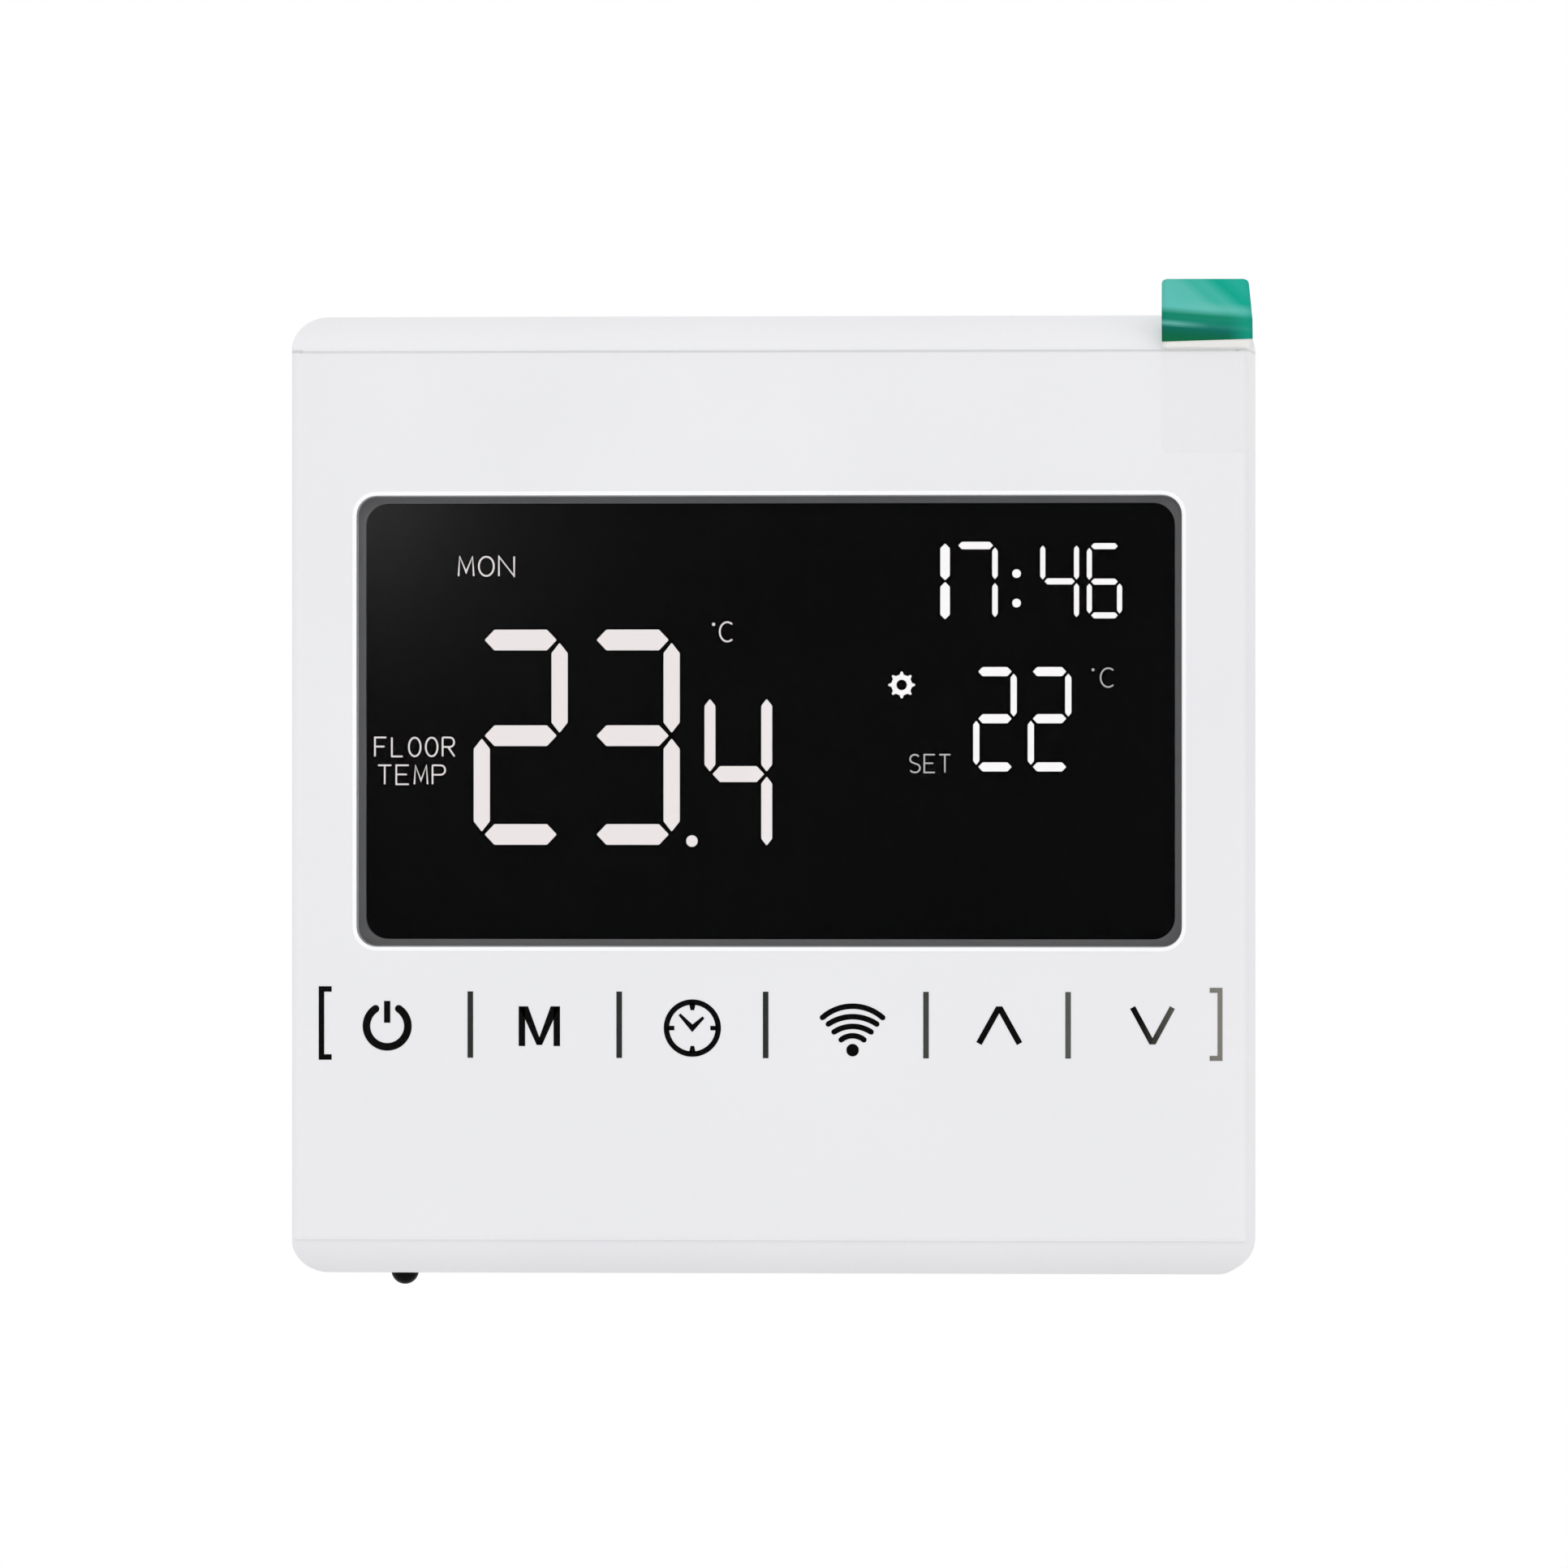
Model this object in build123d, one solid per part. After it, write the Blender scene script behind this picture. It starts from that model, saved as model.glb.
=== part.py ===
from build123d import *
import math
import os

# Wall thermostat for an 86 mm flush box: a pull-off touch front on a steel
# mounting plate, with a power unit behind it in the wall.
# Millimetres. Origin at the middle of the wall face, X right, Y into the wall, Z up.

# Front cover
COVER_WIDTH = 86.0
COVER_HEIGHT = 86.0
COVER_DEPTH = 13.3          # wall to face
COVER_WALL = 1.8
CORNER_RADIUS = 3.1
INNER_CORNER_RADIUS = 1.2
BAND_HEIGHT = 3.1           # rolled band above and below the flat face
BAND_DEPTH = 4.5            # how far the band rolls back
BAND_STEP = 0.25            # fine step where the band leaves the face
FACE_EDGE_RADIUS = 0.8
RIM_GAP = 0.3               # cover rim to wall
CUT_OVER = 1.0              # how far a cut runs past the face it opens

# Window let into the face
LENS_SIDE = 6.0             # cover edge to window, left and right
LENS_DROP = 16.25           # cover top to window
LENS_HEIGHT = 40.3
LENS_RECESS = 1.2
LENS_GLUE = 0.05            # glue layer on the ledge
LENS_RADIUS = 1.7
LENS_FRONT_RADIUS = 2.0
LENS_BEVEL_SIDE = 0.4
LENS_BEVEL_END = 0.7
LENS_BEVEL_DEPTH = 0.7
LENS_FIT = 0.1
LEDGE_WIDTH = 0.6           # ledge that the lens is glued to
LEDGE_THICKNESS = 0.8

# Display stack and control board
STACK_GAP = 0.05
LCD_OVERLAP = 1.2           # glass hidden behind the ledge on each side
LCD_REAR_GLASS = 1.1
LCD_FRONT_GLASS = 1.0
LCD_CONTACT_LEDGE = 0.9     # rear glass left bare for the contact pins
LCD_PIN_COUNT = 20
LCD_PIN_PITCH = 2.5
LCD_PIN_WIDTH = 0.5
LCD_PIN_THICKNESS = 0.4
LCD_PIN_TAIL = 0.8
LCD_PIN_FIT = 0.1
LCD_RIB = 1.0
LCD_RIB_LENGTH = 5.0
LCD_RIB_GAP = 0.3
BACKLIGHT_RADIUS = 0.8
LED_BAR_WIDTH = 1.6
LED_BAR_LENGTH = 22.0
LED_BAR_SET_BACK = 0.8
BOARD_THICKNESS = 1.6
BOARD_PLATE_GAP = 3.65      # control board to mounting plate
BOARD_SIDE_GAP = 1.7        # board edge to cover wall, left and right
BOARD_END_GAP = 3.7         # board edge to cover wall, top and bottom
BOARD_CORNER = 1.0
BOSS_RADIUS = 2.4
BOSS_EDGE = 2.5             # boss centre to board edge, left and right
BOSS_END = 2.5              # boss centre to board edge, top and bottom
BOSS_FILLET = 0.5

# Small screws for boards and housing
SCREW_RADIUS = 1.1
SCREW_HEAD_RADIUS = 2.1
SCREW_HEAD_HEIGHT = 1.3
SCREW_LENGTH = 4.2
SCREW_HOLE_FIT = 0.25
SCREW_PILOT_FIT = 0.02
SCREW_CROSS = 0.6
SCREW_CROSS_DEPTH = 0.7

# Touch keys: coil springs that carry each key's field to the face
KEY_COUNT = 6
KEY_SIDE = 8.6              # cover edge to the outer keys
KEY_DROP = 7.15             # window to the key row
SPRING_RADIUS = 2.4         # to the middle of the wire
SPRING_WIRE = 0.5
SPRING_TURNS = 3
SPRING_SEAT = 0.05

# Air sensor bead at the bottom edge
SENSOR_SIDE = 9.6           # cover edge to bead
SENSOR_RADIUS = 1.25
SENSOR_OUT = 1.1            # bead below the bottom edge
SENSOR_LENGTH = 4.6
SENSOR_FIT = 0.3
SENSOR_LEAD = 0.45
SENSOR_LEAD_SPACING = 1.1
SENSOR_LEAD_ON_BOARD = 3.0

# Parts on the back of the control board
RADIO_X = 10.0
RADIO_Z = -4.0
RADIO_WIDTH = 16.0
RADIO_HEIGHT = 24.0
RADIO_BOARD = 0.8
SHIELD_WIDTH = 12.6
SHIELD_HEIGHT = 15.0
SHIELD_DEPTH = 2.1
SHIELD_DROP = 3.4           # shield sits low, the aerial end stays bare
CHIP_X = -12.0
CHIP_Z = -4.0
CHIP_SIZE = 10.0
CHIP_DEPTH = 1.5
CHIP_LEADS = 8              # on each side
CHIP_LEAD_PITCH = 1.0
CHIP_LEAD_WIDTH = 0.4
CHIP_LEAD_REACH = 1.0
CHIP_LEAD_THICKNESS = 0.3

# Plug between the front and the power unit
PLUG_PINS = 8
PLUG_PITCH = 2.54
PLUG_Z = 18.0
PLUG_THICKNESS = 2.5
PLUG_PIN = 0.64
PLUG_PIN_LENGTH = 6.0
PLUG_PIN_FIT = 0.13
PLUG_BASE = 2.5
SOCKET_LENGTH = 8.5
SOCKET_GAP = 0.25           # socket mouth to header base
SOCKET_HOLE_DEPTH = 6.8

# Clear film on the face, and its pull tab
FILM_INSET = 0.1
FILM_THICKNESS = 0.1
FILM_GAP = 0.05             # tack layer
TAB_OVERHANG = 0.45         # tab past the cover edge
TAB_WIDTH = 8.15
TAB_THICKNESS = 0.12
TAB_STUCK = 9.2             # stuck length on the film
TAB_BULGE = 1.15            # how far the fold stands off the face
TAB_FOLD = 2.4              # film edge to fold
TAB_FREE = 4.0              # fold to free end
TAB_LEAN = 1.2              # free end leans back from the fold
TAB_CORNER = 0.5

# Steel mounting plate
PLATE_THICKNESS = 1.2
PLATE_GAP = 0.5             # plate edge to cover wall
PLATE_RADIUS = 2.2
SCREW_SPACING = 60.0        # wall box screws
SLOT_WIDTH = 4.5
SLOT_LENGTH = 7.5

# Spring clips that hold the front on the plate
CLIP_X = 22.0
CLIP_WIDTH = 8.0
CLIP_THICKNESS = 0.4
CLIP_CLEAR = 0.25           # bump crest to cover wall
CLIP_BUMP = 1.4
CLIP_BUMP_HALF = 1.6
CLIP_BUMP_STAND = 3.8       # crest in front of the plate
CLIP_REACH = 6.2
CLIP_LEAD_IN = 0.5
CATCH_HEIGHT = 0.85
CATCH_THICKNESS = 1.2
CATCH_BEHIND = 1.1          # catch behind the bump's crest
PRY_WIDTH = 6.0
PRY_DEPTH = 1.4

# Rear housing
HOUSING_WIDTH = 48.0
HOUSING_HEIGHT = 54.0
HOUSING_DEPTH = 27.0        # wall face to back
HOUSING_WALL = 1.6
HOUSING_RADIUS = 3.0
HOUSING_INNER_RADIUS = 1.4
HOUSING_BACK_CHAMFER = 1.2
HOUSING_FIT = 0.25
FLANGE_THICKNESS = 1.5
FLANGE_REACH = 7.0          # flange beyond the tub, top and bottom
FLANGE_GAP = 0.35           # flange end to clip foot
FLANGE_SCREW_X = 14.0
FLANGE_SCREW_SHORT = 0.1    # screw end short of the wall face
STEP_GAP = 2.5              # terminals stand below this step
VENT_COUNT = 5
VENT_PITCH = 4.0
VENT_WIDTH = 1.6
VENT_LENGTH = 9.0
VENT_Z = 10.0
VENT_Y = 17.0
POST_RADIUS = 2.6
POST_IN = 3.8               # post centre to inner wall
COVER_LIP = 0.8             # ledge that the inner cover rests on
INNER_COVER_THICKNESS = 1.2
INNER_COVER_FIT = 0.2
INNER_COVER_Y = 0.3         # its back face

# Power board
POWER_BOARD_FIT = 0.3
POWER_BOARD_CORNER = 1.4
LEG_THICKNESS = 0.6

# Terminals, with a rising cage under each screw
POLE_COUNT = 6
CELL_WALL = 1.2
BLOCK_END_GAP = 0.4         # block to the tub's lower wall
BLOCK_FRONT_WALL = 1.5
BLOCK_BACK_WALL = 1.5
BLOCK_FIT = 0.2
CAGE_FIT = 0.2
CAGE_SIDE = 0.6
CAGE_FLOOR = 1.0
CAGE_TOP = 2.4
CAGE_LENGTH = 6.0
CAGE_STAND = 1.4            # cage floor off the board when open
CAGE_TRAVEL = 3.0
WIRE_SPACE = 4.3
TONGUE_THICKNESS = 0.8
TONGUE_SIDE_GAP = 0.4
TONGUE_GAP = 0.3
TONGUE_PIN = 1.2
TONGUE_PIN_TAIL = 0.8
TONGUE_PIN_FIT = 0.1
CELL_BACK_GAP = 0.8         # cage to the contact's leg
MOUTH_SILL = 0.65           # cell wall beside the wire's mouth
MOUTH_EASE = 0.2
TERMINAL_SCREW_RADIUS = 1.5
TERMINAL_SCREW_FIT = 0.08
TERMINAL_HEAD_RADIUS = 2.45
TERMINAL_HEAD_HEIGHT = 2.2
TERMINAL_HEAD_FIT = 0.25
TERMINAL_HEAD_SUNK = 0.8
TERMINAL_SLOT = 0.8
TERMINAL_SLOT_DEPTH = 1.1
TERMINAL_WEB = 0.8
TERMINAL_TIP_GAP = 0.1
BLOCK_CHAMFER = 0.6

# Parts on the power board, placed on its back
ROW_GAP = 1.6               # between neighbours
RELAY_SIDE_GAP = 1.4        # relay to the tub's wall
RELAY_HEIGHT = 12.7
RELAY_DEPTH = 15.7
CORE_SIDE_GAP = 0.8         # transformer to the tub's wall
CORE_WIDTH = 12.0
CORE_LIMB = 1.6
CORE_DEPTH = 3.4
CORE_STAND = 3.2
BOBBIN_SIDE = 1.8           # core beside the bobbin
BOBBIN_HEIGHT = 11.5
BOBBIN_DEPTH = 9.4
CAN_COUNT = 3
CAN_SPACING = 8.5
CAN_RADIUS = 3.1
CAN_HEIGHT = 12.0
CAN_END_GAP = 0.7           # cans to the tub's upper wall
CAN_ROUND = 0.5
FILM_CAP_X = 2.0
FILM_CAP_WIDTH = 13.0
FILM_CAP_HEIGHT = 6.0
FILM_CAP_DEPTH = 11.0
VARISTOR_SIDE_GAP = 2.9     # varistor to the tub's wall
VARISTOR_RADIUS = 5.0
VARISTOR_THICKNESS = 4.0
VARISTOR_STAND = 2.0
VARISTOR_LEG_SPREAD = 5.0
FUSE_SIDE_GAP = 2.4         # fuse to the tub's wall
FUSE_RADIUS = 1.8
FUSE_LENGTH = 9.0
FUSE_CAP = 2.2
FUSE_CAP_WALL = 0.25
FUSE_STAND = 1.0
PART_ROUND = 0.6

# Depths that follow from the sizes above, front to back
FACE_Y = -COVER_DEPTH
BAND_Y = FACE_Y + BAND_DEPTH
LEDGE_Y = FACE_Y + LENS_RECESS
LENS_BACK_Y = LEDGE_Y - LENS_GLUE
INNER_FACE_Y = LEDGE_Y + LEDGE_THICKNESS
LCD_Y = INNER_FACE_Y + STACK_GAP
LCD_BACK_Y = LCD_Y + LCD_FRONT_GLASS + LCD_REAR_GLASS
BACKLIGHT_Y = LCD_BACK_Y + STACK_GAP
PLATE_Y = -PLATE_THICKNESS
BOARD_BACK_Y = PLATE_Y - BOARD_PLATE_GAP
BOARD_Y = BOARD_BACK_Y - BOARD_THICKNESS
BACKLIGHT_BACK_Y = BOARD_Y - STACK_GAP
FLANGE_Y = PLATE_Y - FLANGE_THICKNESS
SENSOR_Y = BOARD_Y - SENSOR_LEAD / 2
HEADER_Y = BOARD_BACK_Y + SOCKET_LENGTH + SOCKET_GAP
POWER_BOARD_Y = HEADER_Y + PLUG_BASE
POWER_BACK_Y = POWER_BOARD_Y + BOARD_THICKNESS
HOUSING_FLOOR_Y = HOUSING_DEPTH - HOUSING_WALL
STEP_FLOOR_Y = POWER_BACK_Y + BLOCK_FIT
STEP_Y = STEP_FLOOR_Y + HOUSING_WALL

# Widths and heights that follow
CAVITY_X = COVER_WIDTH / 2 - COVER_WALL
CAVITY_Z = COVER_HEIGHT / 2 - COVER_WALL
LENS_WIDTH = COVER_WIDTH - 2 * LENS_SIDE
LENS_Z = COVER_HEIGHT / 2 - LENS_DROP - LENS_HEIGHT / 2
OPENING_WIDTH = LENS_WIDTH - 2 * LEDGE_WIDTH
OPENING_HEIGHT = LENS_HEIGHT - 2 * LEDGE_WIDTH
LCD_WIDTH = OPENING_WIDTH + 2 * LCD_OVERLAP
LCD_HEIGHT = OPENING_HEIGHT + 2 * LCD_OVERLAP
LCD_TOP_Z = LENS_Z + LCD_HEIGHT / 2
BOARD_X = CAVITY_X - BOARD_SIDE_GAP
BOARD_Z = CAVITY_Z - BOARD_END_GAP
BOSS_X = BOARD_X - BOSS_EDGE
BOSS_Z = BOARD_Z - BOSS_END
PLATE_X = CAVITY_X - PLATE_GAP
PLATE_Z = CAVITY_Z - PLATE_GAP
CLIP_LEAF_Z = CAVITY_Z - CLIP_CLEAR - CLIP_THICKNESS / 2 - CLIP_BUMP
FLANGE_Z = HOUSING_HEIGHT / 2 + FLANGE_REACH
FLANGE_SCREW_Z = HOUSING_HEIGHT / 2 + FLANGE_REACH / 2
CLIP_FOOT = CLIP_LEAF_Z - FLANGE_Z - FLANGE_GAP
HOLLOW_X = HOUSING_WIDTH / 2 - HOUSING_WALL
HOLLOW_Z = HOUSING_HEIGHT / 2 - HOUSING_WALL
POST_X = HOLLOW_X - POST_IN
POST_Z = HOLLOW_Z - POST_IN
PLUG_LENGTH = PLUG_PINS * PLUG_PITCH
KEY_PITCH = (COVER_WIDTH - 2 * KEY_SIDE) / (KEY_COUNT - 1)
KEY_Z = LENS_Z - LENS_HEIGHT / 2 - KEY_DROP
SENSOR_X = SENSOR_SIDE - COVER_WIDTH / 2
KEY_XS = [(i - (KEY_COUNT - 1) / 2) * KEY_PITCH for i in range(KEY_COUNT)]

# Terminal depths and places that follow
BLOCK_X = HOLLOW_X - BLOCK_FIT
POLE_PITCH = (2 * BLOCK_X - CELL_WALL) / POLE_COUNT
CELL_WIDTH = POLE_PITCH - CELL_WALL
POLE_XS = [(i - (POLE_COUNT - 1) / 2) * POLE_PITCH for i in range(POLE_COUNT)]
CAGE_WIDTH = CELL_WIDTH - 2 * CAGE_FIT
TONGUE_WIDTH = CAGE_WIDTH - 2 * CAGE_SIDE - 2 * TONGUE_SIDE_GAP
CAGE_Y = POWER_BACK_Y + CAGE_STAND
WIRE_Y = CAGE_Y + CAGE_FLOOR
TONGUE_Y = WIRE_Y + WIRE_SPACE
CAGE_TOP_Y = TONGUE_Y + TONGUE_THICKNESS + TONGUE_GAP
CAGE_END_Y = CAGE_TOP_Y + CAGE_TOP
WEB_Y = CAGE_END_Y + CAGE_TRAVEL + CAGE_FIT
HEAD_Y = WEB_Y + TERMINAL_WEB + TERMINAL_TIP_GAP
BLOCK_BACK_Y = HEAD_Y + TERMINAL_HEAD_HEIGHT + TERMINAL_HEAD_SUNK
BLOCK_BOTTOM_Z = BLOCK_END_GAP - HOLLOW_Z
CELL_Z = BLOCK_BOTTOM_Z + BLOCK_FRONT_WALL
CAGE_Z = CELL_Z + CAGE_FIT
CAGE_MID_Z = CAGE_Z + CAGE_LENGTH / 2
LEG_Z = CAGE_Z + CAGE_LENGTH + CELL_BACK_GAP
CELL_TOP_Z = LEG_Z + TONGUE_THICKNESS + CAGE_FIT
BLOCK_TOP_Z = CELL_TOP_Z + BLOCK_BACK_WALL
STEP_Z = BLOCK_TOP_Z + STEP_GAP

# Places on the power board that follow, row by row from the top
CAN_Z = HOLLOW_Z - CAN_END_GAP - CAN_RADIUS
CAN_XS = [(i - (CAN_COUNT - 1) / 2) * CAN_SPACING for i in range(CAN_COUNT)]
ROW_Z = CAN_Z - CAN_RADIUS - ROW_GAP
RELAY_WIDTH = 2 * HOLLOW_X - RELAY_SIDE_GAP - CORE_SIDE_GAP - ROW_GAP - CORE_WIDTH
RELAY_AT = (RELAY_SIDE_GAP + RELAY_WIDTH / 2 - HOLLOW_X, ROW_Z - RELAY_HEIGHT / 2)
CORE_HEIGHT = BOBBIN_HEIGHT + 2 * CORE_LIMB
BOBBIN_WIDTH = CORE_WIDTH - 2 * BOBBIN_SIDE
TRANSFORMER_AT = (HOLLOW_X - CORE_SIDE_GAP - CORE_WIDTH / 2, ROW_Z - CORE_HEIGHT / 2)
LOWER_ROW_Z = ROW_Z - RELAY_HEIGHT - ROW_GAP
FILM_CAP_AT = (FILM_CAP_X, LOWER_ROW_Z - FILM_CAP_HEIGHT / 2)
VARISTOR_AT = (VARISTOR_SIDE_GAP + VARISTOR_RADIUS - HOLLOW_X, LOWER_ROW_Z - VARISTOR_THICKNESS / 2)
FUSE_OUTER = FUSE_RADIUS + FUSE_CAP_WALL
FUSE_AT = (HOLLOW_X - FUSE_SIDE_GAP - FUSE_LENGTH / 2, ROW_Z - CORE_HEIGHT - ROW_GAP - FUSE_OUTER)


def prism(sketch, front_y, back_y):
    """Solid between two depths from a sketch drawn as seen from the room."""
    return extrude(Plane.XZ.offset(-back_y) * sketch, amount=back_y - front_y)


def span(x, y, z):
    """Box between two values on each axis."""
    pairs = (x, y, z)
    middle = [(low + high) / 2 for low, high in pairs]
    return Pos(*middle) * Box(*[high - low for low, high in pairs])


def about(middle, size):
    """Two values that lie evenly about a middle."""
    return (middle - size / 2, middle + size / 2)


def group(shapes):
    """One node out of separate solids."""
    return Compound([solid for shape in shapes for solid in shape.solids()])


def strip(points, thickness):
    """Closed outline of a bent sheet, mitred at each bend, from its middle line."""
    steps = [(Vector(*b) - Vector(*a)).normalized() for a, b in zip(points, points[1:])]
    normals = [Vector(-s.Y, s.X) for s in steps]
    left, right = [], []
    for i, point in enumerate(points):
        before = normals[max(i - 1, 0)]
        after = normals[min(i, len(normals) - 1)]
        mitre = (before + after) * (thickness / 2 / (1 + before.dot(after)))
        left.append(Vector(*point) + mitre)
        right.append(Vector(*point) - mitre)
    return make_face(Polyline(*left, *reversed(right), close=True))


def corners(x, z):
    """The four places at plus and minus x and z."""
    return [(sx * x, sz * z) for sx in (-1, 1) for sz in (-1, 1)]


def cover_form(inset, front_y, back_y, corner_radius):
    """Block with the cover's outline, rolled bands and eased face edges."""
    half = COVER_HEIGHT / 2 - inset
    crease = half - BAND_HEIGHT
    width = COVER_WIDTH - 2 * inset
    roll_low = TangentArc((BAND_Y, -half), (front_y + BAND_STEP, -crease), tangent=(-1, 0))
    roll_high = TangentArc((BAND_Y, half), (front_y + BAND_STEP, crease), tangent=(-1, 0))
    face = Polyline(
        (front_y + BAND_STEP, -crease),
        (front_y, -crease),
        (front_y, crease),
        (front_y + BAND_STEP, crease),
    )
    back = Polyline((BAND_Y, half), (back_y, half), (back_y, -half), (BAND_Y, -half))
    side = make_face(roll_low + face + roll_high + back)
    plan = Pos(0, (front_y + back_y) / 2) * Rectangle(width, back_y - front_y)
    plan = fillet(plan.vertices().group_by(Axis.Y)[0], FACE_EDGE_RADIUS)
    outline = RectangleRounded(width, 2 * half, corner_radius)
    form = prism(outline, front_y - CUT_OVER, back_y + CUT_OVER)
    form &= extrude(Plane.YZ * side, amount=COVER_WIDTH, both=True)
    return form & extrude(plan, amount=COVER_HEIGHT, both=True)


def board_bosses():
    """Screw bosses behind the face, flared where they meet it."""
    bosses = []
    for x, z in corners(BOSS_X, BOSS_Z):
        flare = Pos(x, z) * Circle(BOSS_RADIUS + BOSS_FILLET)
        boss = prism(Pos(x, z) * Circle(BOSS_RADIUS), INNER_FACE_Y, BOARD_Y)
        bosses.append(boss + prism(flare, INNER_FACE_Y, INNER_FACE_Y + BOSS_FILLET))
    return bosses


def boss_pilots():
    """Pilot holes in the screw bosses."""
    depth = SCREW_LENGTH - BOARD_THICKNESS + SCREW_HOLE_FIT
    hole = Circle(SCREW_RADIUS + SCREW_PILOT_FIT)
    return [prism(Pos(x, z) * hole, BOARD_Y - depth, BOARD_Y) for x, z in corners(BOSS_X, BOSS_Z)]


def lcd_ribs():
    """Ribs behind the face that locate the glass left and right."""
    ribs = []
    reach = LCD_HEIGHT / 2 - LCD_RIB_LENGTH / 2
    for side, end in corners(1, 1):
        inner = side * (LCD_WIDTH / 2 + LCD_RIB_GAP)
        x = sorted((inner, inner + side * LCD_RIB))
        ribs.append(span(x, (INNER_FACE_Y, BACKLIGHT_Y), about(LENS_Z + end * reach, LCD_RIB_LENGTH)))
    return ribs


def catches():
    """Catches on the top and bottom walls that snap behind the spring clips."""
    front = PLATE_Y - CLIP_BUMP_STAND + CATCH_BEHIND
    found = []
    for x, end in corners(CLIP_X, 1):
        z = sorted((end * (CAVITY_Z - CATCH_HEIGHT), end * (CAVITY_Z + COVER_WALL / 2)))
        found.append(span(about(x, CLIP_WIDTH), (front, front + CATCH_THICKNESS), z))
    return found


def front_cover():
    """White front moulding, open at the back."""
    cover = cover_form(0, FACE_Y, -RIM_GAP, CORNER_RADIUS)
    cover -= cover_form(COVER_WALL, INNER_FACE_Y, CUT_OVER, INNER_CORNER_RADIUS)
    seat = RectangleRounded(
        LENS_WIDTH + 2 * LENS_FIT, LENS_HEIGHT + 2 * LENS_FIT, LENS_RADIUS + LENS_FIT
    )
    opening = RectangleRounded(OPENING_WIDTH, OPENING_HEIGHT, LENS_FRONT_RADIUS)
    cover -= prism(Pos(0, LENS_Z) * seat, FACE_Y - CUT_OVER, LEDGE_Y)
    cover -= prism(Pos(0, LENS_Z) * opening, LEDGE_Y, INNER_FACE_Y + CUT_OVER)
    cover = cover + board_bosses() + lcd_ribs() + catches()
    cover -= boss_pilots()
    low_z = -COVER_HEIGHT / 2
    sensor_hole = Cylinder(SENSOR_RADIUS + SENSOR_FIT, 3 * COVER_WALL)
    cover -= Pos(SENSOR_X, SENSOR_Y, low_z) * sensor_hole
    for x in (-CLIP_X, CLIP_X):
        pry_y = (-RIM_GAP - PRY_DEPTH, CUT_OVER)
        cover -= span(about(x, PRY_WIDTH), pry_y, about(low_z, 3 * COVER_WALL))
    return cover


def display_window():
    """Dark lens, flush with the face, with a bevel all round."""
    full = RectangleRounded(LENS_WIDTH, LENS_HEIGHT, LENS_RADIUS)
    front = RectangleRounded(
        LENS_WIDTH - 2 * LENS_BEVEL_SIDE, LENS_HEIGHT - 2 * LENS_BEVEL_END, LENS_FRONT_RADIUS
    )
    bevel_y = FACE_Y + LENS_BEVEL_DEPTH
    bevel = loft([Plane.XZ.offset(-bevel_y) * full, Plane.XZ.offset(-FACE_Y) * front], ruled=True)
    return Pos(0, 0, LENS_Z) * (prism(full, bevel_y, LENS_BACK_Y) + bevel)


def lcd_panel():
    """Two glasses, the rear one left bare along the top for the pins."""
    middle_y = LCD_Y + LCD_FRONT_GLASS
    front_height = LCD_HEIGHT - LCD_CONTACT_LEDGE
    front = Pos(0, LENS_Z - LCD_CONTACT_LEDGE / 2) * Rectangle(LCD_WIDTH, front_height)
    rear = Pos(0, LENS_Z) * Rectangle(LCD_WIDTH, LCD_HEIGHT)
    return prism(front, LCD_Y, middle_y) + prism(rear, middle_y, LCD_BACK_Y)


def lcd_backlight():
    """Light guide behind the glass, with a lamp bar at its left end."""
    guide = Pos(0, LENS_Z) * RectangleRounded(LCD_WIDTH, LCD_HEIGHT, BACKLIGHT_RADIUS)
    light = prism(guide, BACKLIGHT_Y, BACKLIGHT_BACK_Y)
    bar_x = (-LCD_WIDTH / 2 - LED_BAR_WIDTH, -LCD_WIDTH / 2 + LED_BAR_WIDTH)
    bar_y = (BACKLIGHT_Y + LED_BAR_SET_BACK, BACKLIGHT_BACK_Y)
    return light + span(bar_x, bar_y, about(LENS_Z, LED_BAR_LENGTH))


def lcd_pin_places():
    """Middle of each contact pin along the glass."""
    return [(i - (LCD_PIN_COUNT - 1) / 2) * LCD_PIN_PITCH for i in range(LCD_PIN_COUNT)]


def lcd_pins():
    """Contact pins from the bare edge of the glass through the board."""
    y = (LCD_Y + LCD_FRONT_GLASS, BOARD_BACK_Y + LCD_PIN_TAIL)
    z = (LCD_TOP_Z, LCD_TOP_Z + LCD_PIN_THICKNESS)
    return group([span(about(x, LCD_PIN_WIDTH), y, z) for x in lcd_pin_places()])


def control_board():
    """Board behind the display, drilled for its screws and the display pins."""
    outline = RectangleRounded(2 * BOARD_X, 2 * BOARD_Z, BOARD_CORNER)
    hole = Circle(SCREW_RADIUS + SCREW_HOLE_FIT)
    outline -= [Pos(x, z) * hole for x, z in corners(BOSS_X, BOSS_Z)]
    pin_z = LCD_TOP_Z + LCD_PIN_THICKNESS / 2
    pin_hole = Rectangle(LCD_PIN_WIDTH + 2 * LCD_PIN_FIT, LCD_PIN_THICKNESS + 2 * LCD_PIN_FIT)
    outline -= [Pos(x, pin_z) * pin_hole for x in lcd_pin_places()]
    return prism(outline, BOARD_Y, BOARD_BACK_Y)


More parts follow.
